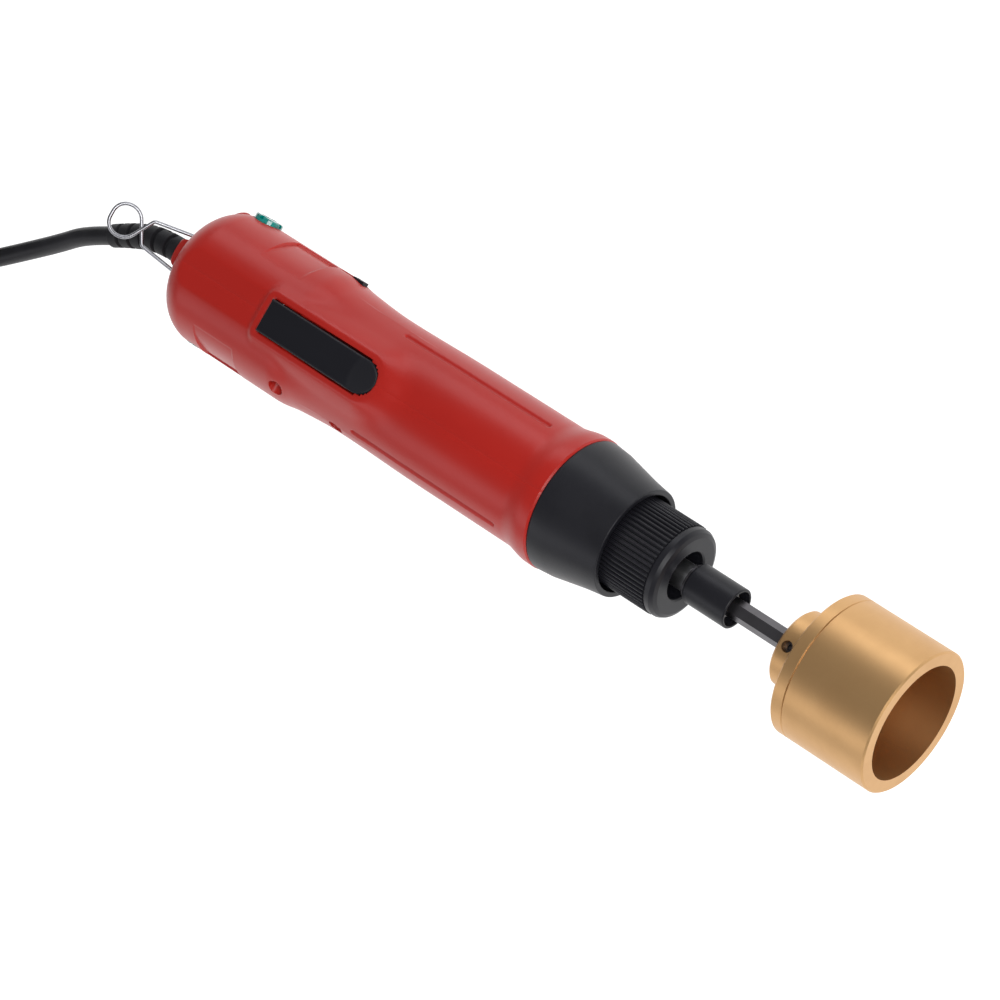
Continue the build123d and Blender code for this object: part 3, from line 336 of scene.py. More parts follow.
def spaced(*stretches):
    """Stations along a line from (start, end, step) stretches, without repeats."""
    stations = []
    for start, end, step in stretches:
        count = max(1, round(abs(end - start) / step))
        stations.extend(np.linspace(start, end, count, endpoint=False))
    stations.append(stretches[-1][1])
    return np.array(stations)


# ------------------------------------------------------------------ handle
cap_to_tail = 16.0
handle_back = cap_centre - cap_to_tail
swell, waist, grip, collar = 25.5, 23.0, 23.4, 25.0
tail_rounding = 14.0
dome_front = handle_back + tail_rounding
waist_x = handle_back + 86.0
grip_x = waist_x + 38.0
swell_x = handle_back + 58.0
facet_height = swell - 1.0
collar_flare = 13.0, 3.5            # distances behind the handle's front
trigger_half = 6.25
slot_half = 6.6
slot_back = trigger_back - 0.35
slot_nose = trigger_front - trigger_half
lip_height = 26.1
lip_land = 2.1                      # flat top of the lip
knob_x = sum(ends("reverse_knob")) / 2
knob_travel = 6.0
window_half = 5.8, 2.1              # along the handle and across it
panel_length = 19.3
groove_ends = 83.5, 15.5            # distances behind the handle's front
groove_depth = 0.75
screw_head, screw_seat = 2.8, 14.0
parting_depth = 0.16
wall = 2.5


def barrel(x):
    """Radius of the plain handle from the collar to the start of the tail's rounding."""
    xs = np.array([swell_x, swell_x + 10.0, waist_x, grip_x])
    rs = np.array([swell, waist + 1.2, waist, grip])
    slopes = np.array([0.0, -0.0893, -0.0143, 0.0])
    index = np.clip(np.searchsorted(xs, x) - 1, 0, 2)
    span = xs[index + 1] - xs[index]
    t = np.clip((x - xs[index]) / span, 0.0, 1.0)
    flank = ((2 * t ** 3 - 3 * t ** 2 + 1) * rs[index] + (t ** 3 - 2 * t ** 2 + t) * span * slopes[index]
             + (3 * t ** 2 - 2 * t ** 3) * rs[index + 1] + (t ** 3 - t ** 2) * span * slopes[index + 1])
    raised = grip + (collar - grip) * soften(x, handle_front - collar_flare[0],
                                              handle_front - collar_flare[1])
    edge = 0.5 * soften(x, handle_front - 0.6, handle_front)
    return np.where(x > grip_x, raised - edge, np.where(x < swell_x, swell, flank))


def from_slot(x, y):
    """Distance outside the trigger's opening, negative inside it."""
    ahead = np.hypot(x - slot_nose, y) - slot_half
    side = np.abs(y) - slot_half
    behind = slot_back - x
    square = np.hypot(np.maximum(side, 0), np.maximum(behind, 0)) + np.minimum(np.maximum(side, behind), 0)
    return np.where(x > slot_nose, ahead, square)


def boss_height(x, y):
    """Height of the raised lip round the trigger and its slopes."""
    away = from_slot(x, y)
    forward = np.clip((x - slot_nose) / np.maximum(np.hypot(x - slot_nose, y), 1e-6), 0, 1)
    slope = np.maximum(away - lip_land, 0) * (1 - 0.62 * forward ** 2)
    drop = 0.95 * slope ** 2 / (slope + 1.3)
    crown = lip_height - 0.3 * soften(x, slot_back, slot_nose) - 0.012 * y ** 2
    return crown - drop - 0.5 * soften(0.7 - away, 0.0, 0.7) ** 2


def sunk_panel(x, angle, front, first, last):
    """Depth of a label recess: shallow by the trigger side, full on the far side."""
    rear = front - panel_length
    inside = soften(x, rear, rear + 0.25) * soften(-x, -front, -front + 0.25)
    across = soften(angle, first, first + 0.5) * soften(-angle, -last, -last + 0.6)
    return inside * across * (0.12 + 0.8 * soften(angle, first, first + 30.0))


def finger_groove(x, around):
    """Depth of a shallow groove along the grip; around is the distance from its middle line."""
    rear, front = handle_front - groove_ends[0], handle_front - groove_ends[1]
    along = np.maximum(np.maximum(rear + 1.2 - x, x - front + 1.2), 0)
    return groove_depth * (1 - soften(np.hypot(along, around), 0.35, 1.25))


screw_places = ((handle_back + 62.0, 13.7), (handle_back + 62.0, -13.7),
                (handle_front - 92.5, 8.4), (handle_front - 92.5, -8.4))


def half_shell(name, node, side):
    """One moulded half of the handle: outer skin, inner skin and the rims that join them."""
    stations = spaced((handle_front, handle_front - 1.0, 0.2), (handle_front - 1.0, handle_front - 7.0, 1.2),
                      (handle_front - 7.0, handle_front - 13.0, 0.5),
                      (handle_front - 13.0, handle_front - 17.5, 0.28),
                      (handle_front - 17.5, handle_front - 75.0, 2.4),
                      (handle_front - 75.0, handle_front - 86.0, 0.42),
                      (handle_front - 86.0, handle_front - 97.0, 0.36),
                      (handle_front - 97.0, knob_x + 8.0, 0.9), (knob_x + 8.0, cap_centre + 6.4, 0.4),
                      (cap_centre + 6.4, dome_front + 0.3, 0.33))
    turned = np.radians(spaced((0.0, 19.0, 1.35), (19.0, 90.0, 2.6)))
    plain = barrel(stations)
    xs = np.concatenate([stations, dome_front - tail_rounding * np.sin(turned), [handle_back, handle_back]])
    rs = np.concatenate([plain, swell - tail_rounding + tail_rounding * np.cos(turned), [9.0, 5.2]])
    across = spaced((0.0, 6.2, 0.75), (6.2, 7.4, 0.24), (7.4, 12.2, 0.4))
    # columns near the top keep a constant distance from the parting plane
    column_radius = 24.6
    top = np.degrees(np.arcsin(across / column_radius))
    under = spaced((top[-1], 76.0, 0.92), (76.0, 106.0, 0.86), (106.0, 152.0, 0.98), (152.0, 180.0, 2.2))
    angles = np.concatenate([top[:-1], under])
    x, angle = np.meshgrid(xs, angles, indexing="ij")
    base = np.meshgrid(rs, angles, indexing="ij")[0]
    theta = np.radians(angle)
    held = (1 - soften(angle, top[-1], top[-1] + 14.0)) * soften(x, dome_front - 2.0, dome_front + 8.0)
    straight = np.arcsin(np.clip(column_radius * np.sin(theta) / np.maximum(base, 12.0), -1, 1))
    theta = theta * (1 - held) + straight * held
    sine, cosine = np.sin(theta), np.cos(theta)
    radius = base.copy()
    # flat facet behind the trigger
    plane = facet_height / np.maximum(cosine, 0.2)
    behind = soften(-x, -(slot_back - 1.0), -(slot_back - 4.5))
    cut = np.where(cosine > 0.5, blend_min(radius, plane, 0.25), radius)
    radius = radius * (1 - behind) + cut * behind
    # raised lip round the trigger
    near = (cosine > 0.45) & (x < slot_nose + 45) & (x > slot_back - 16)
    low, high = np.full_like(radius, 5.0), np.full_like(radius, 40.0)
    for _ in range(24):
        lip = (low + high) / 2
        over = lip * cosine > boss_height(x, lip * sine)
        low, high = np.where(over, low, lip), np.where(over, lip, high)
    radius = np.where(near, blend_max(radius, low, 0.9), radius)
    # sunk panels, grooves and the parting line
    if side > 0:
        radius -= sunk_panel(x, angle, handle_back + 52.5, 40.0, 85.0)
    else:
        radius -= sunk_panel(x, angle, handle_back + 41.5, 43.0, 88.0)
    for middle in (55.0, 125.0):
        radius -= finger_groove(x, np.radians(angle - middle) * base)
    radius -= parting_depth * (1 - soften(np.abs(radius * sine), 0.05, 0.3)) * (radius > 6)
    y, z = radius * sine, radius * cosine
    # small stub beside the tail
    stub = np.hypot(x - (handle_back + 4.6), z - 1.0)
    y += 1.5 * np.sqrt(np.clip(1 - (stub / 3.4) ** 2, 0, 1))

    def bore(centre_x, centre_z, hole, seat, edge):
        """A round hole along Y down to a seat; points beside its edge move onto it."""
        nonlocal x, y, z
        dx, dz = x - centre_x, z - centre_z
        away = np.maximum(np.hypot(dx, dz), 1e-6)
        outer = (away >= hole) & (away < hole + edge) & (y > seat)
        inner = (away < hole) & (away > hole - edge) & (y > seat)
        for rim, size in ((outer, hole + 0.03), (inner, hole - 0.04)):
            x = np.where(rim, centre_x + dx * size / away, x)
            z = np.where(rim, centre_z + dz * size / away, z)
        y = np.where((away < hole) & (y > seat), seat, y)

    bore(cap_centre, 0.0, cap_radius + 0.25, swell - 3.4, 0.3)
    if side < 0:
        for place_x, place_z in screw_places:
            bore(place_x, place_z, screw_head, screw_seat, 0.3)
    else:
        window_x = knob_x - knob_travel / 2
        window = (np.abs(x - window_x) < window_half[0]) & (np.abs(z) < window_half[1])
        y = np.where(window, swell - 2.4, y)
    # trigger opening
    slot = from_slot(x, y)
    snap = (cosine > 0.8) & (np.abs(slot) < 0.16) & (x > slot_nose)
    scale = slot_half / np.maximum(np.hypot(x - slot_nose, y), 1e-6)
    x = np.where(snap, slot_nose + (x - slot_nose) * scale, x)
    y = np.where(snap, y * scale, y)
    middle_x = (x[1:, 1:] + x[:-1, :-1]) / 2
    middle_y = (y[1:, 1:] + y[:-1, :-1]) / 2
    open_cell = (from_slot(middle_x, middle_y) < 0) & (cosine[1:, 1:] > 0.8)
    # inner skin
    depth = np.hypot(y, z)
    clear = np.minimum(base - wall, depth - 1.3)
    clear = np.maximum(clear, np.where(base > 6, 3.0, 2.0))
    back_in = np.where(x < dome_front, wall * soften(dome_front - x, 0, tail_rounding), 0)
    inner_x = x + back_in
    inner_y, inner_z = clear * sine, clear * cosine
    rows, columns = x.shape
    outside = np.stack([x, side * y, z], axis=-1).reshape(-1, 3)
    inside = np.stack([inner_x, side * inner_y, inner_z], axis=-1).reshape(-1, 3)
    count = rows * columns
    faces = []
    edges = {}
    for row in range(rows - 1):
        for column in range(columns - 1):
            if open_cell[row, column]:
                continue
            a = row * columns + column
            quad = (a, a + 1, a + columns + 1, a + columns)
            faces.append(quad)
            faces.append(tuple(count + corner for corner in reversed(quad)))
            for first, second in zip(quad, quad[1:] + quad[:1]):
                if (second, first) in edges:
                    del edges[(second, first)]
                else:
                    edges[(first, second)] = True
    for first, second in edges:
        faces.append((second, first, first + count, second + count))
    return piece(name, np.concatenate([outside, inside]), faces, node, "handle", 38.0)


half_shell("left_shell", "handle_left", 1)
half_shell("right_shell", "handle_right", -1)


# ------------------------------------------------------------------ tail block
def tail_block():
    """Tapered block at the tail that clamps the strain relief and holds the bail."""
    turns = 64
    outlines = []
    # station, half width, half height and corner rounding
    sections = ((handle_back + 3.0, 6.0, 5.5, 0.6), (handle_back - 0.5, 6.0, 5.5, 0.6),
                (block_back + 3.2, 5.7, 5.4, 0.8), (block_back + 1.1, 5.1, 5.0, 1.0),
                (block_back + 0.3, 4.75, 4.75, 1.6), (block_back, 4.5, 4.5, 2.0))
    relief_hole = 4.1
    for station, half_y, half_z, corner in sections:
        for turn in range(turns):
            angle = 2 * math.pi * (turn + 0.5) / turns
            wide, high = math.cos(angle), math.sin(angle)
            reach = min((half_y - corner) / max(abs(wide), 1e-6), (half_z - corner) / max(abs(high), 1e-6))
            outlines.append((station, wide * (reach + corner), high * (reach + corner)))
    for station in (block_back, handle_back + 3.0):
        for turn in range(turns):
            angle = 2 * math.pi * (turn + 0.5) / turns
            outlines.append((station, relief_hole * math.cos(angle), relief_hole * math.sin(angle)))
    faces = grid_faces(8, turns, closed=True)
    last = 7 * turns
    faces += [(last + turn, last + (turn + 1) % turns, (turn + 1) % turns, turn) for turn in range(turns)]
    for name, node, side in (("left_tail_block", "handle_left", 1),
                             ("right_tail_block", "handle_right", -1)):
        made = bmesh.new()
        corners = [made.verts.new(Vector(point) * MM) for point in outlines]
        for face in faces:
            made.faces.new([corners[index] for index in face])
        cut = bmesh.ops.bisect_plane(made, geom=made.verts[:] + made.edges[:] + made.faces[:],
                                     plane_co=(0, 0, 0), plane_no=(0, -side, 0), clear_outer=True)
        rim = [part for part in cut["geom_cut"] if isinstance(part, bmesh.types.BMEdge)]
        bmesh.ops.holes_fill(made, edges=rim)
        mesh = bpy.data.meshes.new(name)
        made.to_mesh(mesh)
        made.free()
        dress(name, mesh, node, "handle", 30.0)


tail_block()


# ------------------------------------------------------------------ hanging bail
def filleted(corners, radii, steps=12):
    """A line through corners whose bends are arcs of the given radii."""
    corners = [Vector(corner) for corner in corners]
    line = [corners[0]]
    for before, here, after, radius in zip(corners, corners[1:], corners[2:], radii):
        into, away = (here - before).normalized(), (after - here).normalized()
        turn = into.angle(away)
        reach = radius * math.tan(turn / 2)
        start, end = here - into * reach, here + away * reach
        for step in range(steps + 1):
            t = step / steps
            weights = ((1 - t) ** 2, 2 * t * (1 - t) * math.cos(turn / 2), t ** 2)
            line.append((start * weights[0] + here * weights[1] + end * weights[2]) / sum(weights))
    return [*line, corners[-1]]


def hanging_wire():
    """Round wire of the bail: two legs, a crossing and a wide eye."""
    wire, sides = 0.7, 24
    pivot_x, leg, neck = block_back + 2.9, 7.42, 4.3
    along = (-math.cos(math.radians(32.0)), math.sin(math.radians(32.0)))
    plan = [(0, neck, 0), (0, leg, 0), (15.5, 5.0, 0.75), (22.0, -6.6, 0.75), (30.4, -5.2, 0.375),
            (30.4, 5.2, -0.375), (22.0, 6.6, -0.75), (15.5, -5.0, -0.75), (0, -leg, 0), (0, -neck, 0)]
    corners = [(pivot_x + far * along[0] + over * along[1], y, 1.0 + far * along[1] - over * along[0])
               for far, y, over in plan]
    line = filleted(corners, [1.12, 1.6, 5.8, 5.0, 5.0, 5.8, 1.6, 1.12])
    across = (line[1] - line[0]).orthogonal().normalized()
    rings = []
    for point, before, after in zip(line, line[:1] + line, line[1:] + line[-1:]):
        tangent = (after - before).normalized()
        across = (across - tangent * across.dot(tangent)).normalized()
        over = tangent.cross(across)
        for side in range(sides):
            angle = 2 * math.pi * side / sides
            rings.append(point + (across * math.cos(angle) + over * math.sin(angle)) * wire)
    faces = grid_faces(len(line), sides, closed=True)
    faces.append(tuple(reversed(range(sides))))
    faces.append(tuple(range(len(rings) - sides, len(rings))))
    return piece("bail_wire", rings, faces, "hanging_bail", "hanging_bail")


hanging_wire()


# ------------------------------------------------------------------ trigger
def trigger_plate():
    """Trigger lever: rounded edges, and a crowned slope towards its round nose."""
    rounding, ramp_length, ramp_slope = 0.8, 10.2, 0.27
    bottom, top = 22.5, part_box("trigger")[1][2] / MM
    turned = np.radians(np.linspace(0, 90, 26))
    straight = spaced((trigger_back, trigger_back + 1.2, 0.12), (trigger_back + 1.2, slot_nose, 0.8))
    xs = np.concatenate([straight[:-1],
                         slot_nose + trigger_half * np.sin(turned)])
    nose_width = np.sqrt(np.maximum(trigger_half ** 2 - (xs - slot_nose) ** 2, 0.0))
    widths = np.where(xs > slot_nose, nose_width, trigger_half)
    share = np.concatenate([[-1, -0.992, -0.98, -0.962, -0.94, -0.91, -0.87], np.linspace(-0.8, 0.8, 17),
                            [0.87, 0.91, 0.94, 0.962, 0.98, 0.992, 1]])
    x, part = np.meshgrid(xs, share, indexing="ij")
    y = np.meshgrid(widths, share, indexing="ij")[0] * part
    ahead = trigger_half - np.hypot(x - slot_nose, y)
    square = np.minimum(trigger_half - np.abs(y), x - trigger_back)
    inside = np.clip(np.where(x > slot_nose, ahead, square), 0, rounding)
    fall = rounding - np.sqrt(rounding ** 2 - (rounding - inside) ** 2)
    crease = trigger_front - ramp_length + 0.035 * y ** 2
    ramp = ramp_slope * np.maximum(x - crease, 0) - 0.05 * soften(1.0 - np.abs(x - crease), 0, 1)
    z = top - fall - ramp
    rows, columns = x.shape
    upper = np.stack([x, y, z], axis=-1).reshape(-1, 3)
    lower = np.stack([x, y, np.full_like(z, bottom)], axis=-1).reshape(-1, 3)
    count = rows * columns
    faces = grid_faces(rows, columns)
    faces += [tuple(count + corner for corner in reversed(face)) for face in grid_faces(rows, columns)]
    rim = list(range(columns))
    rim += [row * columns + columns - 1 for row in range(1, rows)]
    rim += [(rows - 1) * columns + column for column in reversed(range(columns - 1))]
    rim += [row * columns for row in reversed(range(1, rows - 1))]
    for first, second in zip(rim, rim[1:] + rim[:1]):
        faces.append((second, first, first + count, second + count))
    piece("trigger_plate", np.concatenate([upper, lower]), faces, "trigger", "trigger", 40.0)


trigger_plate()


# ------------------------------------------------------------------ turned parts
def lathe(name, outline, node, body, turns=160, crease=28.0):
    """A closed ring turned about the drive axis from (x, radius) points."""
    round_the_axis = [2 * math.pi * turn / turns for turn in range(turns)]
    points = [(x, radius * math.sin(angle), radius * math.cos(angle))
              for x, radius in outline for angle in round_the_axis]
    faces = grid_faces(len(outline), turns, closed=True)
    last = (len(outline) - 1) * turns
    faces += [(last + turn, last + (turn + 1) % turns, (turn + 1) % turns, turn) for turn in range(turns)]
    return piece(name, points, faces, node, body, crease)


def eased(corner_points, radius, steps=5):
    """An outline whose corners are rounded with small arcs."""
    rounded = []
    for before, here, after in zip([corner_points[-1]] + corner_points[:-1], corner_points,
                                   corner_points[1:] + corner_points[:1]):
        here_v = Vector(here)
        into, away = here_v - Vector(before), Vector(after) - here_v
        turn = into.angle(away)
        if turn < math.radians(12):
            rounded.append(tuple(here_v))
            continue
        reach = min(radius * math.tan(turn / 2), into.length * 0.4, away.length * 0.4)
        start, end = here_v - into.normalized() * reach, here_v + away.normalized() * reach
        for step in range(steps + 1):
            t = step / steps
            rounded.append(tuple(start * (1 - t) ** 2 + here_v * 2 * t * (1 - t) + end * t ** 2))
    return rounded


cone_front, cone_back = ends("nose_cone")
cone_nose, cone_shoulder, cone_root, spigot = 20.3, 24.1, 24.75, 21.2
lathe("cone_shell", eased([
    (cone_front, cone_nose - 2.0), (cone_front, cone_nose), (handle_front + 20.0, 21.4),
    (handle_front + 7.0, cone_shoulder), (handle_front + 0.8, cone_root - 0.05),
    (handle_front, cone_root - 0.35), (handle_front, spigot), (handle_front - 4.5, spigot),
    (handle_front - 4.5, spigot - 1.2), (handle_front - 6.5, spigot - 1.2),
    (handle_front - 6.5, spigot), (cone_back, spigot), (cone_back, cone_nose - 2.0)], 0.45),
    "nose_cone", "handle", 192)


def socket_of(tree, name):
    return next(item.identifier for item in tree.interface.items_tree if item.name == name)


def flute_tree():
    """Geometry Nodes: ribs set round an axis and joined to the body that carries them."""
    tree = bpy.data.node_groups.new("ring_flutes", "GeometryNodeTree")
    tree.interface.new_socket("Geometry", in_out="OUTPUT", socket_type="NodeSocketGeometry")
    for name, kind in (("Geometry", "NodeSocketGeometry"), ("Count", "NodeSocketInt"),
                       ("Radius", "NodeSocketFloat"), ("Front", "NodeSocketFloat"),
                       ("Length", "NodeSocketFloat"), ("Rib radius", "NodeSocketFloat"),
                       ("Finish", "NodeSocketMaterial")):
        tree.interface.new_socket(name, in_out="INPUT", socket_type=kind)
    links = tree.links

    def node(kind, links_in=(), **settings):
        made = tree.nodes.new(kind)
        for name, value in settings.items():
            setattr(made, name, value)
        for name, value in links_in:
            if isinstance(value, bpy.types.NodeSocket):
                links.new(value, made.inputs[name])
            else:
                made.inputs[name].default_value = value
        return made

    def maths(operation, first, second):
        made = node("ShaderNodeMath", ((0, first), (1, second)), operation=operation)
        return made.outputs[0]

    given = node("NodeGroupInput").outputs
    rib = node("GeometryNodeMeshCylinder", (("Vertices", 12), ("Radius", given["Rib radius"]),
                                            ("Depth", given["Length"])), fill_type="TRIANGLE_FAN")
    middle = node("ShaderNodeCombineXYZ", ((0, maths("SUBTRACT", given["Front"],
                                                     maths("MULTIPLY", given["Length"], 0.5))),
                                           (2, given["Radius"])))
    laid = node("GeometryNodeTransform", (("Geometry", rib.outputs["Mesh"]),
                                          ("Translation", middle.outputs[0]),
                                          ("Rotation", (0.0, math.pi / 2, 0.0)),
                                          ("Scale", (1.0, 0.92, 1.0))))
    line = node("GeometryNodeMeshLine", (("Count", given["Count"]), ("Offset", (0.0, 0.0, 0.0))))
    index = node("GeometryNodeInputIndex").outputs[0]
    turn = maths("MULTIPLY", maths("DIVIDE", index, given["Count"]), 2 * math.pi)
    turned = node("ShaderNodeCombineXYZ", ((0, turn),))
    ribs = node("GeometryNodeInstanceOnPoints", (("Points", line.outputs[0]),
                                                 ("Instance", laid.outputs[0]),
                                                 ("Rotation", turned.outputs[0])))
    both = node("GeometryNodeJoinGeometry")
    links.new(ribs.outputs[0], both.inputs[0])
    links.new(given["Geometry"], both.inputs[0])
    real = node("GeometryNodeRealizeInstances", (("Geometry", both.outputs[0]),))
    smooth = node("GeometryNodeSetShadeSmooth", (("Geometry", real.outputs[0]),))
    finish = node("GeometryNodeSetMaterial", (("Geometry", smooth.outputs[0]),
                                              ("Material", given["Finish"])))
    links.new(finish.outputs[0], node("NodeGroupOutput").inputs[0])
    return tree


def fluted_ring():
    """Torque ring: a turned core with a smooth band, and straight ribs round its grip."""
    mouth, bore_radius, rib_count, rib_radius = 9.0, 11.25, 60, 0.62
    grip_front = ring_front - 4.3
    core = lathe("ring_core", eased([
        (ring_front, mouth + 0.5), (ring_front, ring_radius - 2.6), (ring_front - 0.6, ring_radius - 1.1),
        (ring_front - 2.0, ring_radius - 0.35), (ring_front - 4.0, ring_radius - 0.35),
        (ring_front - 4.5, ring_radius - 0.75), (ring_back, ring_radius - 0.75), (ring_back, bore_radius),
        (ring_front - 10.8, bore_radius), (ring_front - 10.8, mouth), (ring_front - 0.5, mouth)], 0.5),
        "torque_ring", "torque_ring", 168)
    modifier = core.modifiers.new("flutes", "NODES")
    modifier.node_group = flute_tree()
    for name, value in (("Count", rib_count), ("Radius", (ring_radius - rib_radius) * MM),
                        ("Front", grip_front * MM), ("Length", (grip_front - ring_back) * MM),
                        ("Rib radius", rib_radius * MM), ("Finish", finishes["black_anodised"])):
        modifier[socket_of(modifier.node_group, name)] = value
    shaped = bpy.data.meshes.new_from_object(core.evaluated_get(bpy.context.evaluated_depsgraph_get()))
    shaped.set_sharp_from_angle(angle=math.radians(32))
    core.modifiers.clear()
    core.data = shaped


fluted_ring()

sleeve_front, sleeve_back = ends("chuck_sleeve")
lathe("sleeve_shell", eased([
    (sleeve_front, 6.4), (sleeve_front, 7.1), (sleeve_front - 0.35, 7.4), (sleeve_back + 0.6, 7.4),
    (sleeve_back, 6.9), (sleeve_back, 5.06), (sleeve_back + 5.0, 5.06), (sleeve_back + 5.0, 6.5),
    (sleeve_front - 2.0, 6.5)], 0.25), "chuck_sleeve", "chuck_sleeve", 112)


# ------------------------------------------------------------------ strain relief
def path_points(route, name, resolution=24):
    """Points along the smooth line of a route, in millimetres."""
    line = spline(route, name)
    line.data.resolution_u = resolution
    shaped = bpy.data.meshes.new_from_object(line.evaluated_get(bpy.context.evaluated_depsgraph_get()))
    found = np.array([vertex.co[:] for vertex in shaped.vertices]) / MM
    bpy.data.meshes.remove(shaped)
    bpy.data.objects.remove(line)
    return found


def spline(route, name):
    """A curve object of one open NURBS spline through millimetre control points."""
    curve = bpy.data.curves.new(name, "CURVE")
    curve.dimensions = "3D"
    line = curve.splines.new("NURBS")
    line.points.add(len(route) - 1)
    for point, place in zip(line.points, route):
        point.co = (*(Vector(place) * MM), 1.0)
    line.order_u = 3
    line.use_endpoint_u = True
    thing = bpy.data.objects.new(name, curve)
    bpy.context.scene.collection.objects.link(thing)
    return thing


relief_end = (-370.0, -9.0, -5.2)
relief_route = [(block_back, 0.0, 0.0), (block_back - 9.0, 0.0, 0.0), (block_back - 21.5, -3.4, -1.7),
                relief_end]
relief_radius = 4.72
slot_count, slot_pitch, slot_depth = 9, 3.15, 1.35


def strain_relief():
    """Moulded sleeve with staggered half-ring slots that let it bend."""
    line = path_points(relief_route, "relief_line", 60)
    steps = np.linalg.norm(np.diff(line, axis=0), axis=1)
    along = np.concatenate([[0], np.cumsum(steps)])
    stops = np.linspace(0, along[-1], 240)
    centre = np.stack([np.interp(stops, along, line[:, axis]) for axis in range(3)], axis=-1)
    tangent = np.gradient(centre, axis=0)
    tangent /= np.linalg.norm(tangent, axis=1)[:, None]
    side = np.cross(tangent, (0.0, 0.0, 1.0))
    side /= np.linalg.norm(side, axis=1)[:, None]
    over = np.cross(side, tangent)
    turns = 72
    angle = 2 * np.pi * np.arange(turns) / turns
    s, a = np.meshgrid(stops, angle, indexing="ij")
    radius = relief_radius - 0.35 * soften(s, 20.0, along[-1])
    radius = radius - 1.15 * soften(s, along[-1] - 0.9, along[-1]) ** 2
    depth = np.zeros_like(s)
    for number in range(slot_count):
        middle = 4.4 + slot_pitch * number
        facing = np.cos(a - (np.pi / 2 + np.pi * (number % 2)) - 0.25)
        cut = 1 - soften(np.abs(s - middle), 0.62, 0.95)
        depth = np.maximum(depth, cut * soften(facing, -0.22, 0.05))
    radius = radius - slot_depth * depth
    shape = (centre[:, None, :] + radius[..., None] * (np.cos(a)[..., None] * side[:, None, :]
                                                       + np.sin(a)[..., None] * over[:, None, :]))
    rows = len(stops)
    points = shape.reshape(-1, 3)
    inner, far = (np.stack([centre[end] + hole * (math.cos(t) * side[end] + math.sin(t) * over[end])
                            for t in angle]) for end, hole in ((0, 3.4), (-1, 3.3)))
    faces = grid_faces(rows, turns, closed=True)
    last, start_ring, end_ring = (rows - 1) * turns, rows * turns, (rows + 1) * turns
    for turn in range(turns):
        after = (turn + 1) % turns
        faces.append((start_ring + turn, start_ring + after, after, turn))
        faces.append((last + turn, last + after, end_ring + after, end_ring + turn))
    faces.append(tuple(start_ring + turn for turn in reversed(range(turns))))
    faces.append(tuple(end_ring + turn for turn in range(turns)))
    return piece("ribbed_relief", np.concatenate([points, inner, far]), faces, "strain_relief",
                 "handle", 35.0)


relief = strain_relief()

# ------------------------------------------------------------------ cord
cord_radius = 3.5
cord_z = table_z + cord_radius
layer = 2 * cord_radius
coil_centre = (-497.0, -39.0)
coil_outer, coil_inner = 45.5, 31.5
coil_start, coil_count = -53.0, 6.25


def around_coil(radius, angle, z):
    """Point at a radius and an angle in degrees from the coil's centre."""
    return (coil_centre[0] + radius * math.cos(math.radians(angle)),
            coil_centre[1] + radius * math.sin(math.radians(angle)), z)


def coil_turns():
    """Two layers of turns: inwards on the table, then outwards on top, with a step between turns."""
    per_turn = 18
    fuller = 2 / (1 + math.cos(math.pi / per_turn))
    turns = []
    for step in range(1, int(coil_count * per_turn)):
        turned = step / per_turn
        angle = coil_start - 360.0 * turned
        whole, part = divmod(turned, 1)
        if turned < 3:
            hop = min(1.0, max(0.0, (part - 0.8) / 0.2))
            hop = hop * hop * (3 - 2 * hop)
            radius = coil_outer - layer * min(whole + hop, 2.0)
            rise = layer * hop if whole == 2 else 0.0
        else:
            hop = min(1.0, max(0.0, (part - 0.55) / 0.2))
            hop = hop * hop * (3 - 2 * hop)
            radius = coil_inner + layer * min(whole - 3 + hop, 2.0)
            rise = layer
        turns.append(around_coil(radius * fuller, angle, cord_z + rise))
    return turns


cord_route = [relief_end, (-383.4, -14.5, -8.65), (-396.5, -23.0, -14.8), (-410.5, -32.0, -19.6),
              (-425.5, -42.6, -22.3), (-440.5, -53.6, cord_z), (-455.5, -65.0, cord_z),
              around_coil(coil_outer, coil_start, cord_z), *coil_turns(),
              around_coil(coil_outer, -143.0, cord_z + layer), (-539.9, -53.0, -13.5), (-540.9, -38.2, -9.8),
              (-536.3, -24.0, -7.0), (-526.7, -12.6, -5.0), (-513.6, -5.6, -5.0)]
cord = spline(cord_route, "power_cord")
cord.data.bevel_depth = cord_radius * MM
cord.data.bevel_resolution = 6
cord.data.resolution_u = 8
cord.data.use_fill_caps = True
cord.data.materials.append(finishes["cord_pvc"])
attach(cord, "handle")
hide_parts("cord", "cord_coil", "cord_tail")

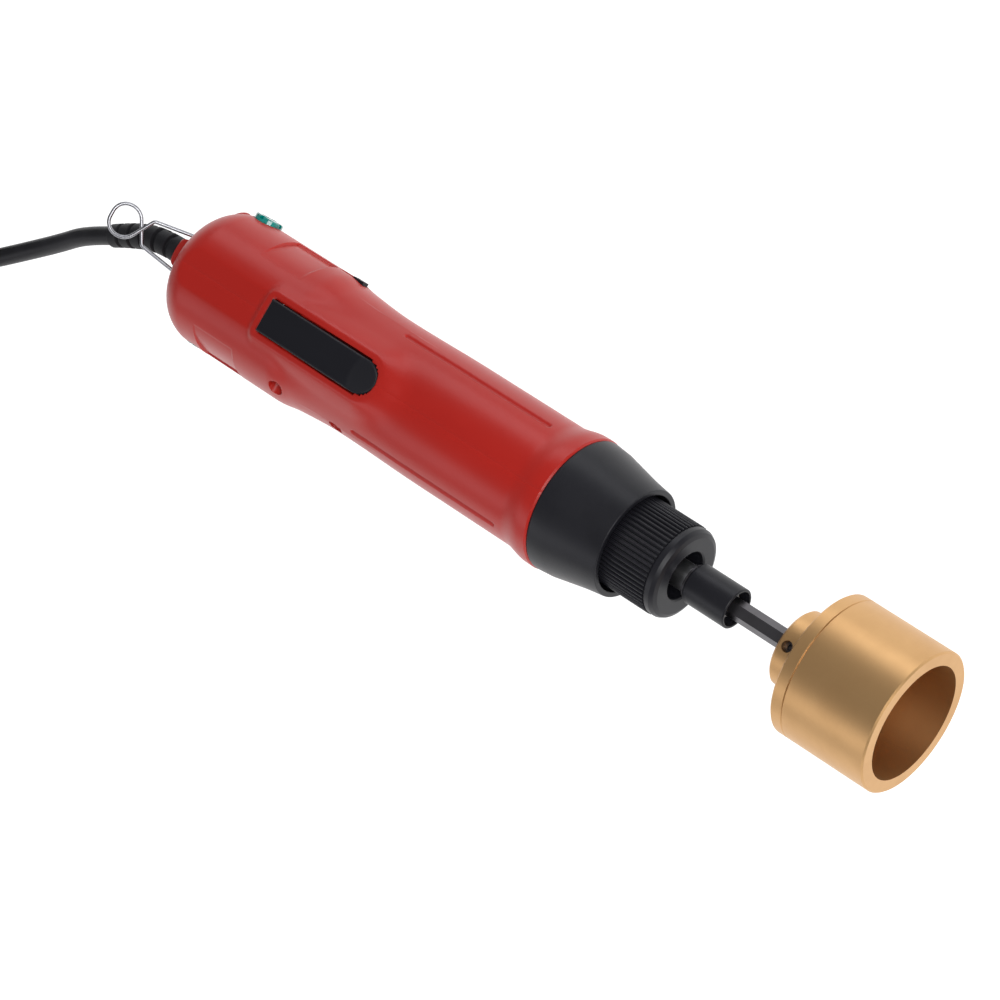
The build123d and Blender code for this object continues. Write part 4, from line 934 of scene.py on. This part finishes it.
# ------------------------------------------------------------------ studio
floor_mesh = bpy.data.meshes.new("floor")
floor_mesh.from_pydata([(-6, -6, table_z * MM), (6, -6, table_z * MM), (6, 6, table_z * MM),
                        (-6, 6, table_z * MM)], [], [(0, 1, 2, 3)])
floor = bpy.data.objects.new("floor", floor_mesh)
bpy.context.scene.collection.objects.link(floor)
pale = Shade("pale_floor", Specular_IOR_Level=0.1, Emission_Color=(1.0, 1.0, 1.0), Emission_Strength=1.0)
pale.colour(pale.mix(pale.noise(4.0).band(0.3, 0.7), (0.3, 0.3, 0.303), (0.31, 0.31, 0.31)))
pale.rough(0.8)
floor_mesh.materials.append(pale.material)

world = bpy.data.worlds.new("studio")
bpy.context.scene.world = world
world.use_nodes = True
world.node_tree.nodes["Background"].inputs["Color"].default_value = (0.98, 0.985, 1.0, 1.0)
world.node_tree.nodes["Background"].inputs["Strength"].default_value = 0.26


def softbox(name, place, target, size, power, colour=(1.0, 1.0, 1.0)):
    """A rectangular area light aimed at a point, sizes in metres."""
    lamp = bpy.data.lights.new(name, "AREA")
    lamp.shape = "RECTANGLE"
    lamp.size, lamp.size_y = size
    lamp.energy = power
    lamp.color = colour
    thing = bpy.data.objects.new(name, lamp)
    bpy.context.scene.collection.objects.link(thing)
    aim = (Vector(place) - Vector(target)).to_track_quat("Z", "Y")
    thing.matrix_world = Matrix.Translation(place) @ aim.to_matrix().to_4x4()


middle = (-0.18, 0.0, 0.0)
softbox("softbox_key", (1.0, 0.2, 1.5), middle, (1.2, 1.2), 27.0)
softbox("softbox_far", (-0.75, 1.35, 0.55), middle, (1.5, 0.6), 7.0, (0.95, 0.96, 1.0))
softbox("softbox_near", (-0.75, -1.35, 0.75), middle, (1.5, 0.6), 5.0, (0.95, 0.95, 1.0))

# ------------------------------------------------------------------ camera
tilt = Matrix.Rotation(math.radians(2.6), 3, "X")
right = (tilt @ Vector((0.729, 0.474, -0.491))).normalized()
toward = tilt @ Vector((0.492, 0.136, 0.860))
toward = (toward - right * right.dot(toward)).normalized()
up = toward.cross(right)
camera = bpy.data.cameras.new("camera")
camera.lens = 144.0
camera.sensor_width = 36.0
camera.clip_start = 0.05
camera.clip_end = 30.0
viewer = bpy.data.objects.new("camera", camera)
bpy.context.scene.collection.objects.link(viewer)
turn = Matrix((right, up, toward)).transposed().to_4x4()
viewer.matrix_world = Matrix.Translation(tilt @ Vector((494.2, 171.4, 1166.6)) * MM) @ turn
bpy.context.scene.camera = viewer
bpy.context.scene.view_settings.view_transform = "Standard"

bpy.context.view_layer.update()
